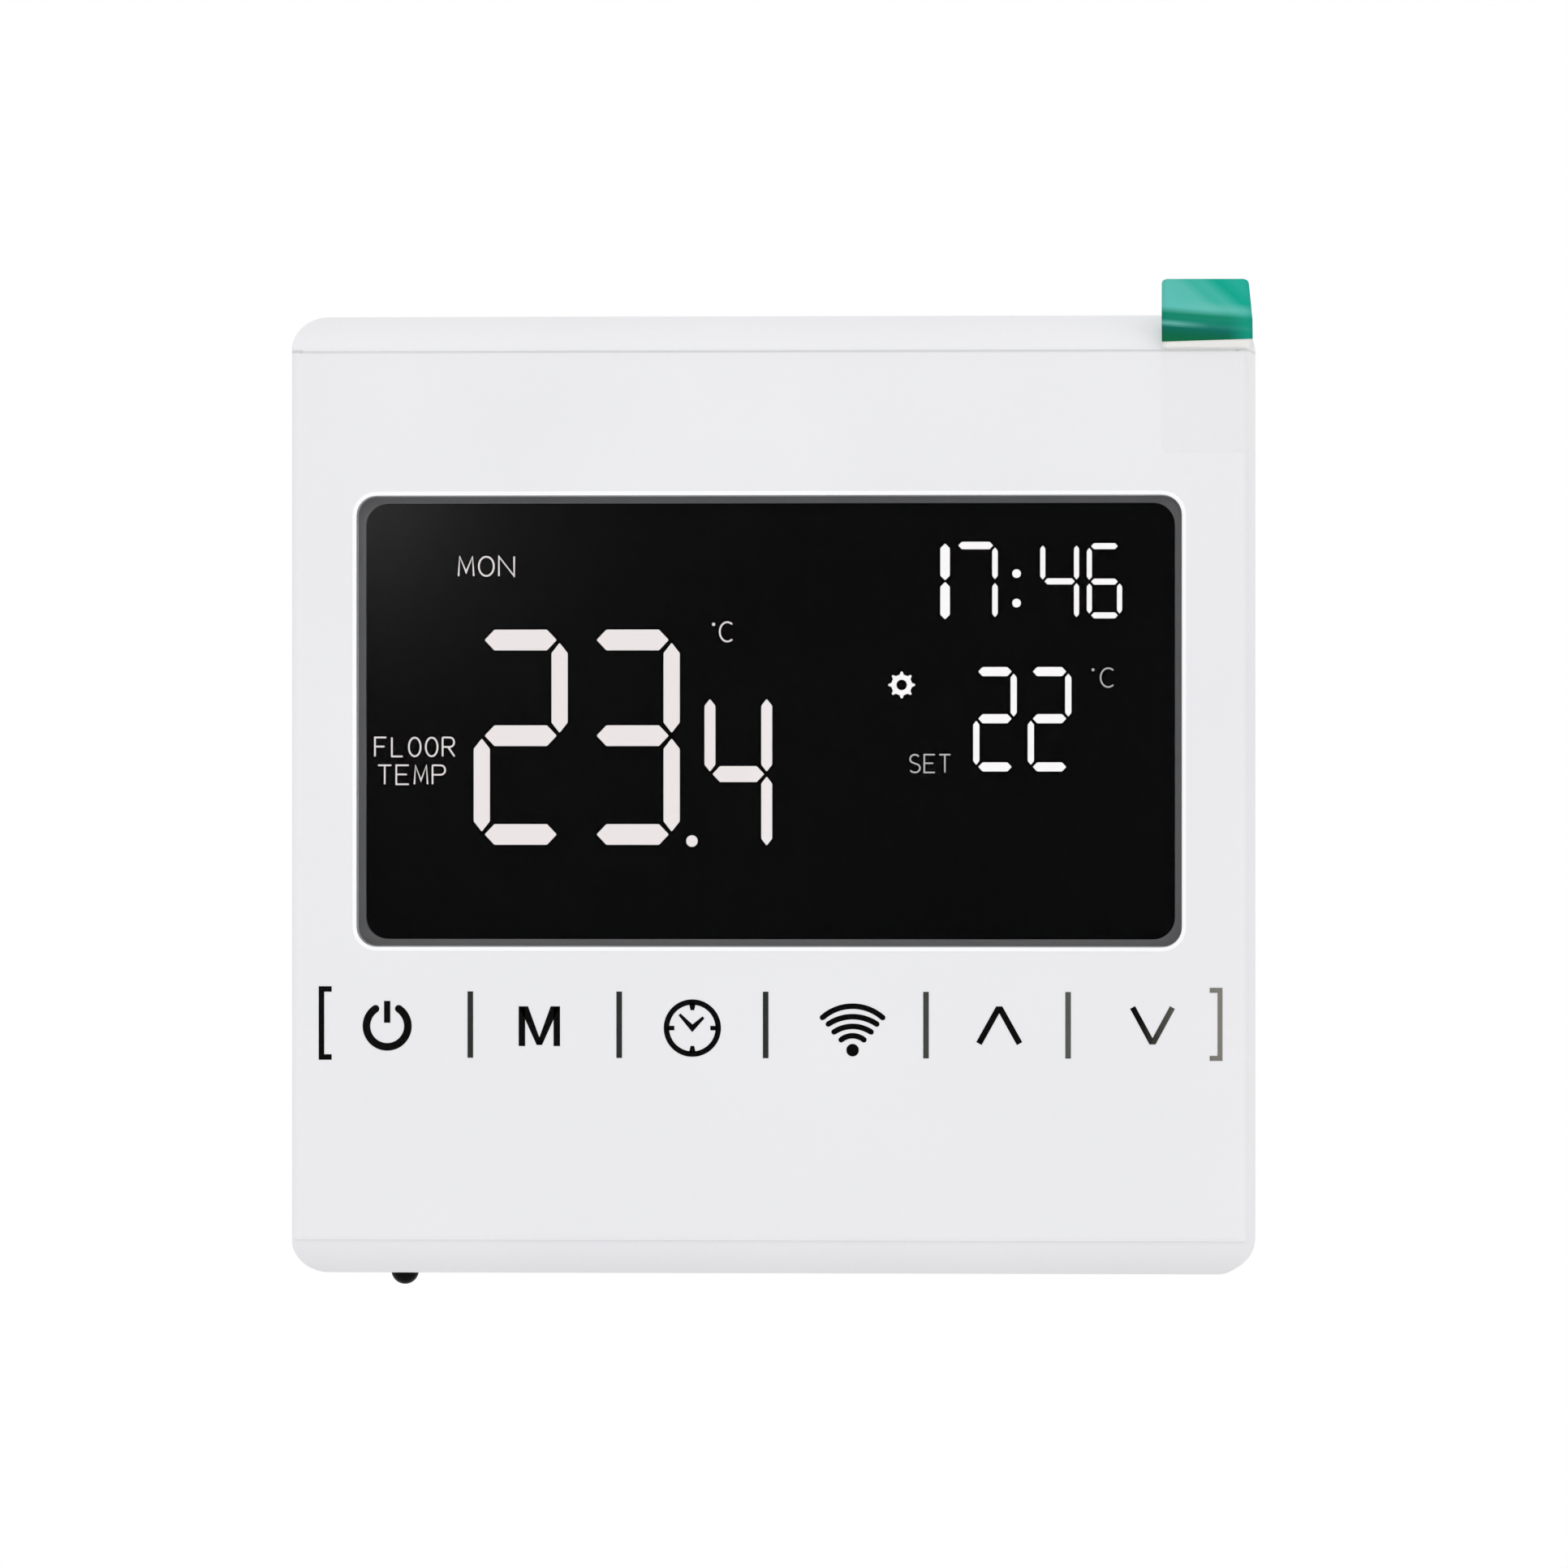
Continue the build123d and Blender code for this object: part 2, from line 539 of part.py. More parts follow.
def small_screw(x, z, head_y, length):
    """Pan-head screw driven towards the room, its head resting at head_y."""
    shank = prism(Pos(x, z) * Circle(SCREW_RADIUS), head_y - length, head_y)
    head = prism(Pos(x, z) * Circle(SCREW_HEAD_RADIUS), head_y, head_y + SCREW_HEAD_HEIGHT)
    head = fillet(head.edges().group_by(Axis.Y)[-1], SCREW_HEAD_HEIGHT / 2)
    bar = Rectangle(2 * SCREW_RADIUS, SCREW_CROSS) + Rectangle(SCREW_CROSS, 2 * SCREW_RADIUS)
    end_y = head_y + SCREW_HEAD_HEIGHT
    return shank + head - prism(Pos(x, z) * bar, end_y - SCREW_CROSS_DEPTH, end_y)


def board_screws():
    """Screws that hold the control board to the cover's bosses."""
    return group([small_screw(x, z, BOARD_BACK_Y, SCREW_LENGTH) for x, z in corners(BOSS_X, BOSS_Z)])


def quarter_turn(start, end, start_way, end_way):
    """Two arcs that leave start and reach end along the given directions."""
    gap = end - start
    ways = start_way + end_way
    a = 2 * (1 - start_way.dot(end_way))
    b = 2 * gap.dot(ways)
    reach = (math.sqrt(b * b + 4 * a * gap.dot(gap)) - b) / (2 * a)
    joint = (start + end + (start_way - end_way) * reach) / 2
    first = TangentArc(start, joint, tangent=start_way)
    second = TangentArc(joint, end, tangent=first % 1)
    return [first, second]


def coil_path(radius, pitch, turns):
    """Helix along Z, built of quarter turns."""
    points, ways = [], []
    for i in range(4 * turns + 1):
        angle = i * math.pi / 2
        points.append(Vector(radius * math.cos(angle), radius * math.sin(angle), pitch * i / 4))
        way = Vector(-radius * math.sin(angle), radius * math.cos(angle), pitch / (2 * math.pi))
        ways.append(way.normalized())
    edges = []
    for i in range(4 * turns):
        edges += quarter_turn(points[i], points[i + 1], ways[i], ways[i + 1])
    return Wire(edges)


def touch_springs():
    """Coil springs between the board and the back of the face, one at each key."""
    free = BOARD_Y - INNER_FACE_Y - SPRING_WIRE - 2 * SPRING_SEAT
    pitch = free / SPRING_TURNS
    path = coil_path(SPRING_RADIUS, pitch, SPRING_TURNS)
    section = Plane(origin=path @ 0, z_dir=path % 0) * RegularPolygon(SPRING_WIRE / 2, 6)
    coil = sweep(section, path=path)
    print(f"touch spring: gap between turns {pitch - SPRING_WIRE:.2f} mm")
    end_y = BOARD_Y - SPRING_SEAT - SPRING_WIRE / 2
    upright = Rot(90, 0, 0) * coil
    return group([Pos(x, end_y, KEY_Z) * upright for x in KEY_XS])


def air_sensor():
    """Bead in the bottom wall, with two leads laid on the board."""
    low_z = -COVER_HEIGHT / 2 - SENSOR_OUT
    centre_z = low_z + SENSOR_RADIUS
    top_z = low_z + SENSOR_LENGTH
    body = Cylinder(SENSOR_RADIUS, top_z - centre_z)
    sensor = Pos(SENSOR_X, SENSOR_Y, (centre_z + top_z) / 2) * body
    sensor += Pos(SENSOR_X, SENSOR_Y, centre_z) * Sphere(SENSOR_RADIUS)
    lead_top = -BOARD_Z + SENSOR_LEAD_ON_BOARD
    for x in about(SENSOR_X, SENSOR_LEAD_SPACING):
        z = (top_z - SENSOR_LEAD, lead_top)
        sensor += span(about(x, SENSOR_LEAD), about(SENSOR_Y, SENSOR_LEAD), z)
    return sensor


def radio_board():
    """Small radio board soldered flat to the control board."""
    outline = Pos(RADIO_X, RADIO_Z) * Rectangle(RADIO_WIDTH, RADIO_HEIGHT)
    return prism(outline, BOARD_BACK_Y, BOARD_BACK_Y + RADIO_BOARD)


def radio_shield():
    """Pressed can over the radio's chips."""
    can_y = BOARD_BACK_Y + RADIO_BOARD
    place = Pos(RADIO_X, RADIO_Z - SHIELD_DROP)
    can = prism(place * Rectangle(SHIELD_WIDTH, SHIELD_HEIGHT), can_y, can_y + SHIELD_DEPTH)
    return fillet(can.edges().group_by(Axis.Y)[-1], PART_ROUND)


def control_chip():
    """Flat chip with a row of leads on each side."""
    low_y = BOARD_BACK_Y
    body_y = (low_y + CHIP_LEAD_THICKNESS / 2, low_y + CHIP_DEPTH)
    chip = span(about(CHIP_X, CHIP_SIZE), body_y, about(CHIP_Z, CHIP_SIZE))
    reach = CHIP_SIZE + 2 * CHIP_LEAD_REACH
    leads = []
    for i in range(CHIP_LEADS):
        along = (i - (CHIP_LEADS - 1) / 2) * CHIP_LEAD_PITCH
        y = (low_y, low_y + CHIP_LEAD_THICKNESS)
        lead_x = about(CHIP_X + along, CHIP_LEAD_WIDTH)
        lead_z = about(CHIP_Z + along, CHIP_LEAD_WIDTH)
        leads.append(span(lead_x, y, about(CHIP_Z, reach)))
        leads.append(span(about(CHIP_X, reach), y, lead_z))
    return chip + leads


def plug_places():
    """Middle of each way of the plug."""
    return [(i - (PLUG_PINS - 1) / 2) * PLUG_PITCH for i in range(PLUG_PINS)]


def board_socket():
    """Socket on the control board that takes the power unit's pins."""
    end_y = BOARD_BACK_Y + SOCKET_LENGTH
    body = Pos(0, PLUG_Z) * Rectangle(PLUG_LENGTH, PLUG_THICKNESS)
    hole = Rectangle(PLUG_PIN + 2 * PLUG_PIN_FIT, PLUG_PIN + 2 * PLUG_PIN_FIT)
    holes = Sketch() + [Pos(x, PLUG_Z) * hole for x in plug_places()]
    socket = prism(body, BOARD_BACK_Y, end_y)
    return socket - prism(holes, end_y - SOCKET_HOLE_DEPTH, end_y + CUT_OVER)


def screen_film():
    """Clear film over the flat of the face."""
    height = COVER_HEIGHT - 2 * BAND_HEIGHT - 2 * FILM_INSET
    outline = RectangleRounded(COVER_WIDTH - 2 * FACE_EDGE_RADIUS, height, FILM_INSET)
    back_y = FACE_Y - FILM_GAP
    return prism(outline, back_y - FILM_THICKNESS, back_y)


def pull_tab():
    """Tape tab, stuck to the film's top corner and folded over the cover's edge."""
    edge_z = COVER_HEIGHT / 2 - BAND_HEIGHT - FILM_INSET
    film_y = FACE_Y - FILM_GAP - FILM_THICKNESS - TAB_THICKNESS / 2
    line = [
        (film_y, edge_z - TAB_STUCK),
        (film_y, edge_z),
        (film_y - TAB_BULGE, edge_z + TAB_FOLD),
        (film_y - TAB_BULGE + TAB_LEAN, edge_z + TAB_FOLD + TAB_FREE),
    ]
    left_x = COVER_WIDTH / 2 + TAB_OVERHANG - TAB_WIDTH
    tab = extrude(Plane.YZ.offset(left_x) * strip(line, TAB_THICKNESS), amount=TAB_WIDTH)
    high = edge_z + TAB_FOLD + TAB_FREE + TAB_THICKNESS
    height = TAB_STUCK + TAB_FOLD + TAB_FREE + 2 * TAB_THICKNESS
    shape = Pos(left_x + TAB_WIDTH / 2, high - height / 2) * RectangleRounded(TAB_WIDTH, height, TAB_CORNER)
    return tab & prism(shape, film_y - TAB_BULGE - CUT_OVER, film_y + TAB_LEAN + CUT_OVER)


def mounting_plate():
    """Steel plate that screws to the wall box, open in the middle for the housing."""
    outline = RectangleRounded(2 * PLATE_X, 2 * PLATE_Z, PLATE_RADIUS)
    outline -= RectangleRounded(
        HOUSING_WIDTH + 2 * HOUSING_FIT, HOUSING_HEIGHT + 2 * HOUSING_FIT, HOUSING_RADIUS + HOUSING_FIT
    )
    slot = SlotOverall(SLOT_LENGTH, SLOT_WIDTH)
    outline -= [Pos(x, 0) * slot for x in about(0, SCREW_SPACING)]
    hole = Circle(SCREW_RADIUS + SCREW_PILOT_FIT)
    outline -= [Pos(x, z) * hole for x, z in corners(FLANGE_SCREW_X, FLANGE_SCREW_Z)]
    return prism(outline, PLATE_Y, 0)


def latch_clips():
    """Bent spring clips on the plate that grip the cover's catches."""
    foot_y = PLATE_Y - CLIP_THICKNESS / 2
    crest_y = PLATE_Y - CLIP_BUMP_STAND
    line = [
        (foot_y, CLIP_LEAF_Z - CLIP_FOOT),
        (foot_y, CLIP_LEAF_Z),
        (crest_y + CLIP_BUMP_HALF, CLIP_LEAF_Z),
        (crest_y, CLIP_LEAF_Z + CLIP_BUMP),
        (crest_y - CLIP_BUMP_HALF, CLIP_LEAF_Z),
        (PLATE_Y - CLIP_REACH - CLIP_THICKNESS, CLIP_LEAF_Z - CLIP_LEAD_IN),
    ]
    clip = extrude(Plane.YZ * strip(line, CLIP_THICKNESS), amount=CLIP_WIDTH / 2, both=True)
    upper = [Pos(x, 0, 0) * clip for x in (-CLIP_X, CLIP_X)]
    return group(upper + [mirror(one, about=Plane.XY) for one in upper])


def step_cut(z, front_y, half_width):
    """Block below the line where the terminals stand clear of the housing."""
    depth = (front_y, HOUSING_DEPTH + CUT_OVER)
    return span((-half_width, half_width), depth, (-HOUSING_HEIGHT, z))


def housing_vents():
    """Vent slots through both side walls."""
    vents = []
    for i in range(VENT_COUNT):
        z = VENT_Z + (i - (VENT_COUNT - 1) / 2) * VENT_PITCH
        slot = Plane.YZ * Pos(VENT_Y, z) * SlotOverall(VENT_LENGTH, VENT_WIDTH)
        vents.append(extrude(slot, amount=HOUSING_WIDTH, both=True))
    return vents


def rear_housing():
    """Tub that stands in the wall box, with a flange in front of the plate."""
    body = RectangleRounded(HOUSING_WIDTH, HOUSING_HEIGHT, HOUSING_RADIUS)
    tub = prism(body, PLATE_Y, HOUSING_DEPTH)
    tub = chamfer(tub.edges().group_by(Axis.Y)[-1], HOUSING_BACK_CHAMFER)
    tub -= step_cut(STEP_Z, STEP_Y, HOUSING_WIDTH)
    tub += prism(RectangleRounded(HOUSING_WIDTH, 2 * FLANGE_Z, HOUSING_RADIUS), FLANGE_Y, PLATE_Y)
    inside = RectangleRounded(2 * HOLLOW_X, 2 * HOLLOW_Z, HOUSING_INNER_RADIUS)
    hollow = prism(inside, FLANGE_Y - CUT_OVER, HOUSING_FLOOR_Y)
    hollow -= step_cut(STEP_Z + HOUSING_WALL, STEP_FLOOR_Y, HOUSING_WIDTH)
    lip = RectangleRounded(2 * (HOLLOW_X + COVER_LIP), 2 * (HOLLOW_Z + COVER_LIP), HOUSING_INNER_RADIUS)
    hollow += prism(lip, FLANGE_Y - CUT_OVER, INNER_COVER_Y)
    tub -= hollow
    posts = [(x, POST_Z) for x in (-POST_X, POST_X)]
    pilot_y = POWER_BACK_Y + SCREW_LENGTH - BOARD_THICKNESS + SCREW_HOLE_FIT
    tub = tub + [prism(Pos(x, z) * Circle(POST_RADIUS), POWER_BACK_Y, HOUSING_FLOOR_Y) for x, z in posts]
    pilot = Circle(SCREW_RADIUS + SCREW_PILOT_FIT)
    tub -= [prism(Pos(x, z) * pilot, POWER_BACK_Y, pilot_y) for x, z in posts]
    hole = Circle(SCREW_RADIUS + SCREW_HOLE_FIT)
    holes = Sketch() + [Pos(x, z) * hole for x, z in corners(FLANGE_SCREW_X, FLANGE_SCREW_Z)]
    tub -= prism(holes, FLANGE_Y, PLATE_Y)
    mouth_x = BLOCK_X + BLOCK_FIT
    mouth_z = (BLOCK_BOTTOM_Z - BLOCK_FIT, BLOCK_TOP_Z + BLOCK_FIT)
    tub -= span((-mouth_x, mouth_x), (STEP_FLOOR_Y - CUT_OVER, STEP_Y + CUT_OVER), mouth_z)
    return tub - housing_vents()


def facing_screw(x, z, seat_y, length):
    """Pan-head screw driven into the wall side, its head facing the room."""
    return Pos(x, seat_y, z) * Rot(180, 0, 0) * small_screw(0, 0, 0, length)


def flange_screws():
    """Screws through the housing's flange into the plate."""
    length = -FLANGE_Y - FLANGE_SCREW_SHORT
    places = corners(FLANGE_SCREW_X, FLANGE_SCREW_Z)
    return group([facing_screw(x, z, FLANGE_Y, length) for x, z in places])


def inner_cover():
    """Insulating cover over the power board, slotted for the plug."""
    outline = RectangleRounded(
        2 * (HOLLOW_X + COVER_LIP - INNER_COVER_FIT),
        2 * (HOLLOW_Z + COVER_LIP - INNER_COVER_FIT),
        HOUSING_INNER_RADIUS,
    )
    outline -= Pos(0, PLUG_Z) * Rectangle(PLUG_LENGTH + 2 * PLUG_PIN, PLUG_THICKNESS + 2 * PLUG_PIN)
    return prism(outline, INNER_COVER_Y - INNER_COVER_THICKNESS, INNER_COVER_Y)


def power_board():
    """Mains board in the housing, drilled for its screws and the contacts."""
    width = 2 * (HOLLOW_X - POWER_BOARD_FIT)
    height = 2 * (HOLLOW_Z - POWER_BOARD_FIT)
    outline = RectangleRounded(width, height, POWER_BOARD_CORNER)
    hole = Circle(SCREW_RADIUS + SCREW_HOLE_FIT)
    outline -= [Pos(x, POST_Z) * hole for x in (-POST_X, POST_X)]
    slot = Rectangle(TONGUE_PIN + 2 * TONGUE_PIN_FIT, TONGUE_THICKNESS + 2 * TONGUE_PIN_FIT)
    outline -= [Pos(x, LEG_Z + TONGUE_THICKNESS / 2) * slot for x in POLE_XS]
    return prism(outline, POWER_BOARD_Y, POWER_BACK_Y)


def power_board_screws():
    """Screws that hold the power board to the housing's posts."""
    return group([facing_screw(x, POST_Z, POWER_BOARD_Y, SCREW_LENGTH) for x in (-POST_X, POST_X)])


def pin_header_base():
    """Moulded base of the pin header, pierced by its pins."""
    body = Pos(0, PLUG_Z) * Rectangle(PLUG_LENGTH, PLUG_THICKNESS)
    body -= [Pos(x, PLUG_Z) * Rectangle(PLUG_PIN, PLUG_PIN) for x in plug_places()]
    return prism(body, HEADER_Y, POWER_BOARD_Y)


def pin_header_pins():
    """Square pins that stand in the front's socket."""
    y = (HEADER_Y - PLUG_PIN_LENGTH, POWER_BOARD_Y)
    return group([span(about(x, PLUG_PIN), y, about(PLUG_Z, PLUG_PIN)) for x in plug_places()])


def standing(at, size, stand=0.0):
    """Box on the back of the power board, size given as width, height and depth."""
    low_y = POWER_BACK_Y + stand
    return span(about(at[0], size[0]), (low_y, low_y + size[2]), about(at[1], size[1]))


def relay():
    """Sealed power relay."""
    case = standing(RELAY_AT, (RELAY_WIDTH, RELAY_HEIGHT, RELAY_DEPTH))
    return fillet(case.edges().filter_by(Axis.Y) + case.edges().group_by(Axis.Y)[-1], PART_ROUND)


def transformer_core():
    """Ferrite frame round the middle of the bobbin."""
    core = standing(TRANSFORMER_AT, (CORE_WIDTH, CORE_HEIGHT, CORE_DEPTH), CORE_STAND)
    window = (BOBBIN_WIDTH + 2 * STACK_GAP, BOBBIN_HEIGHT + 2 * STACK_GAP, CORE_DEPTH)
    return core - standing(TRANSFORMER_AT, window, CORE_STAND)


def transformer_bobbin():
    """Wound and taped bobbin."""
    bobbin = standing(TRANSFORMER_AT, (BOBBIN_WIDTH, BOBBIN_HEIGHT, BOBBIN_DEPTH))
    return fillet(bobbin.edges().filter_by(Axis.Y), PART_ROUND)


def smoothing_cans():
    """Electrolytic capacitors."""
    cans = []
    for x in CAN_XS:
        can = prism(Pos(x, CAN_Z) * Circle(CAN_RADIUS), POWER_BACK_Y, POWER_BACK_Y + CAN_HEIGHT)
        cans.append(fillet(can.edges().group_by(Axis.Y)[-1], CAN_ROUND))
    return group(cans)


def film_capacitor():
    """Boxed mains capacitor."""
    case = standing(FILM_CAP_AT, (FILM_CAP_WIDTH, FILM_CAP_HEIGHT, FILM_CAP_DEPTH))
    return fillet(case.edges().group_by(Axis.Y)[-1], PART_ROUND)


def varistor():
    """Disc varistor on two legs."""
    x, z = VARISTOR_AT
    centre_y = POWER_BACK_Y + VARISTOR_STAND + VARISTOR_RADIUS
    disc = Pos(x, centre_y, z) * Cylinder(VARISTOR_RADIUS, VARISTOR_THICKNESS)
    disc = fillet(disc.edges().filter_by(GeomType.CIRCLE), PART_ROUND)
    legs = [
        span(about(leg_x, LEG_THICKNESS), (POWER_BACK_Y, centre_y), about(z, LEG_THICKNESS))
        for leg_x in about(x, VARISTOR_LEG_SPREAD)
    ]
    return disc + legs


def fuse():
    """Glass fuse with end caps, on two wire legs."""
    x, z = FUSE_AT
    centre_y = POWER_BACK_Y + FUSE_STAND + FUSE_OUTER
    across = Rot(0, 90, 0)
    body = Pos(x, centre_y, z) * across * Cylinder(FUSE_RADIUS, FUSE_LENGTH)
    for end in (-1, 1):
        cap_x = x + end * (FUSE_LENGTH - FUSE_CAP) / 2
        body += Pos(cap_x, centre_y, z) * across * Cylinder(FUSE_OUTER, FUSE_CAP)
        body += span(about(cap_x, LEG_THICKNESS), (POWER_BACK_Y, centre_y), about(z, LEG_THICKNESS))
    return body


def terminal_block():
    """Six-way moulding: a cell for each cage, open to the board and to its wire."""
    block = span((-BLOCK_X, BLOCK_X), (POWER_BACK_Y, BLOCK_BACK_Y), (BLOCK_BOTTOM_Z, BLOCK_TOP_Z))
    block = chamfer(block.edges().group_by(Axis.Y)[-1], BLOCK_CHAMFER)
    for x in POLE_XS:
        block -= span(about(x, CELL_WIDTH), (POWER_BACK_Y - CUT_OVER, WEB_Y), (CELL_Z, CELL_TOP_Z))
        mouth_z = (BLOCK_BOTTOM_Z - CUT_OVER, CELL_Z + CUT_OVER)
        mouth_y = (WIRE_Y - MOUTH_EASE, TONGUE_Y + MOUTH_EASE)
        block -= span(about(x, CELL_WIDTH - 2 * MOUTH_SILL), mouth_y, mouth_z)
        shank = Pos(x, CAGE_MID_Z) * Circle(TERMINAL_SCREW_RADIUS + TERMINAL_SCREW_FIT)
        block -= prism(shank, WEB_Y - CUT_OVER, BLOCK_BACK_Y)
        well = Pos(x, CAGE_MID_Z) * Circle(TERMINAL_HEAD_RADIUS + TERMINAL_HEAD_FIT)
        block -= prism(well, WEB_Y + TERMINAL_WEB, BLOCK_BACK_Y + CUT_OVER)
    return block


def terminal_contacts():
    """Fixed tongues that the cages clamp the wires to."""
    contacts = []
    for x in POLE_XS:
        tongue_y = (TONGUE_Y, TONGUE_Y + TONGUE_THICKNESS)
        leg_z = (LEG_Z, LEG_Z + TONGUE_THICKNESS)
        contact = span(about(x, TONGUE_WIDTH), tongue_y, (CAGE_Z, leg_z[1]))
        contact += span(about(x, TONGUE_WIDTH), (POWER_BACK_Y, tongue_y[1]), leg_z)
        contact += span(about(x, TONGUE_PIN), (POWER_BOARD_Y - TONGUE_PIN_TAIL, tongue_y[1]), leg_z)
        contacts.append(contact)
    return group(contacts)


def terminal_clamp(x):
    """Rising cage, open along Z for the wire, with a bored top for the screw."""
    z = (CAGE_Z, CAGE_Z + CAGE_LENGTH)
    cage = span(about(x, CAGE_WIDTH), (CAGE_Y, CAGE_END_Y), z)
    window_z = (z[0] - CUT_OVER, z[1] + CUT_OVER)
    cage -= span(about(x, CAGE_WIDTH - 2 * CAGE_SIDE), (WIRE_Y, CAGE_TOP_Y), window_z)
    bore = Circle(TERMINAL_SCREW_RADIUS + TERMINAL_SCREW_FIT)
    return cage - prism(Pos(x, CAGE_MID_Z) * bore, CAGE_TOP_Y - CUT_OVER, CAGE_END_Y + CUT_OVER)


def terminal_screw(x):
    """Slotted clamp screw that turns in place and lifts its cage."""
    end_y = HEAD_Y + TERMINAL_HEAD_HEIGHT
    tip_y = TONGUE_Y + TONGUE_THICKNESS + TERMINAL_TIP_GAP
    place = Pos(x, CAGE_MID_Z)
    screw = prism(place * Circle(TERMINAL_HEAD_RADIUS), HEAD_Y, end_y)
    screw += prism(place * Circle(TERMINAL_SCREW_RADIUS), tip_y, HEAD_Y)
    slot = Rectangle(2 * TERMINAL_HEAD_RADIUS + CUT_OVER, TERMINAL_SLOT)
    return screw - prism(place * slot, end_y - TERMINAL_SLOT_DEPTH, end_y + CUT_OVER)


PIECES = (
    front_cover,
    display_window,
    lcd_panel,
    lcd_backlight,
    lcd_pins,
    control_board,
    board_screws,
    touch_springs,
    air_sensor,
    radio_board,
    radio_shield,
    control_chip,
    board_socket,
    screen_film,
    pull_tab,
    mounting_plate,
    latch_clips,
    rear_housing,
    flange_screws,
    inner_cover,
    power_board,
    power_board_screws,
    pin_header_base,
    pin_header_pins,
    relay,
    transformer_core,
    transformer_bobbin,
    smoothing_cans,
    film_capacitor,
    varistor,
    fuse,
    terminal_block,
    terminal_contacts,
)

os.makedirs("parts", exist_ok=True)
for piece in PIECES:
    export_step(piece(), f"parts/{piece.__name__}.step")
for number, pole_x in enumerate(POLE_XS, 1):
    export_step(terminal_clamp(pole_x), f"parts/terminal_clamp_{number}.step")
    export_step(terminal_screw(pole_x), f"parts/terminal_screw_{number}.step")
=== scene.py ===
import logging
import math
from dataclasses import dataclass, field
from enum import Enum
from typing import Iterable, Sequence

import bmesh
import bpy
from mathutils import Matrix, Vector


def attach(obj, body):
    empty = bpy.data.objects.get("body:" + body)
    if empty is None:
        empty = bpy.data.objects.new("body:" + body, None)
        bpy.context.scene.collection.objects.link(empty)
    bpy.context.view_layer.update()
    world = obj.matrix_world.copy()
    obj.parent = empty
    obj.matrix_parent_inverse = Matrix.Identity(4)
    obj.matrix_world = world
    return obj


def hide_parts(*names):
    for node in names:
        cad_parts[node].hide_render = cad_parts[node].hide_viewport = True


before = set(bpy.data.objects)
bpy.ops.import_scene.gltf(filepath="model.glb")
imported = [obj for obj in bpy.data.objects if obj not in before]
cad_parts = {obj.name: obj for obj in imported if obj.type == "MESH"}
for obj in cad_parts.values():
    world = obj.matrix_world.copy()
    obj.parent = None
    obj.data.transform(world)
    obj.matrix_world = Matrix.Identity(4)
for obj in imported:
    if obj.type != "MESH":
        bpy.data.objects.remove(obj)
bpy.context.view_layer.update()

# Wall thermostat: finishes, display, key signs and peel-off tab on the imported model.
# Sizes are millimetres in the model's frame: X right, Y into the wall, Z up.

LOG = logging.getLogger("thermostat")
MM = 0.001
FACE = -13.3  # depth of the cover's flat face
PRINT = 0.03  # thickness of printed and lit marks
UNIT = (0.0, 1.0)
BLACK = (0.0, 0.0, 0.0, 1.0)
WHITE = (1.0, 1.0, 1.0, 1.0)
Point = tuple[float, float]
Place = tuple[float, float, float]
Rib = tuple[Point, Point]
Colour = tuple[float, float, float, float]
Stops = tuple[tuple[float, Colour], ...]
Table = tuple[tuple[float, ...], ...]
Socket = bpy.types.NodeSocket
Node = bpy.types.Node
Material = bpy.types.Material
Piece = bpy.types.Object


class Body(Enum):
    """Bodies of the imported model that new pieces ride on."""

    BASE = "base"
    FRONT = "front"
    FILM = "film"


class Pattern(Enum):
    """Surface patterns, each a shader node group."""

    GRAIN = "moulded_grain"
    BRUSHED = "brushed_streaks"
    SPANGLE = "zinc_spangle"
    TRACES = "board_traces"


class Repeat(Enum):
    """Shapes that a row of points can carry."""

    BAR = "separator_bar"
    SOLDER = "solder_cone"


def tint(*display: int) -> Colour:
    """Give the linear colour, with full alpha, of red, green and blue display values up to 255."""
    parts = [part / 255 for part in display]
    return (*(p / 12.92 if p <= 0.04045 else ((p + 0.055) / 1.055) ** 2.4 for p in parts), 1.0)


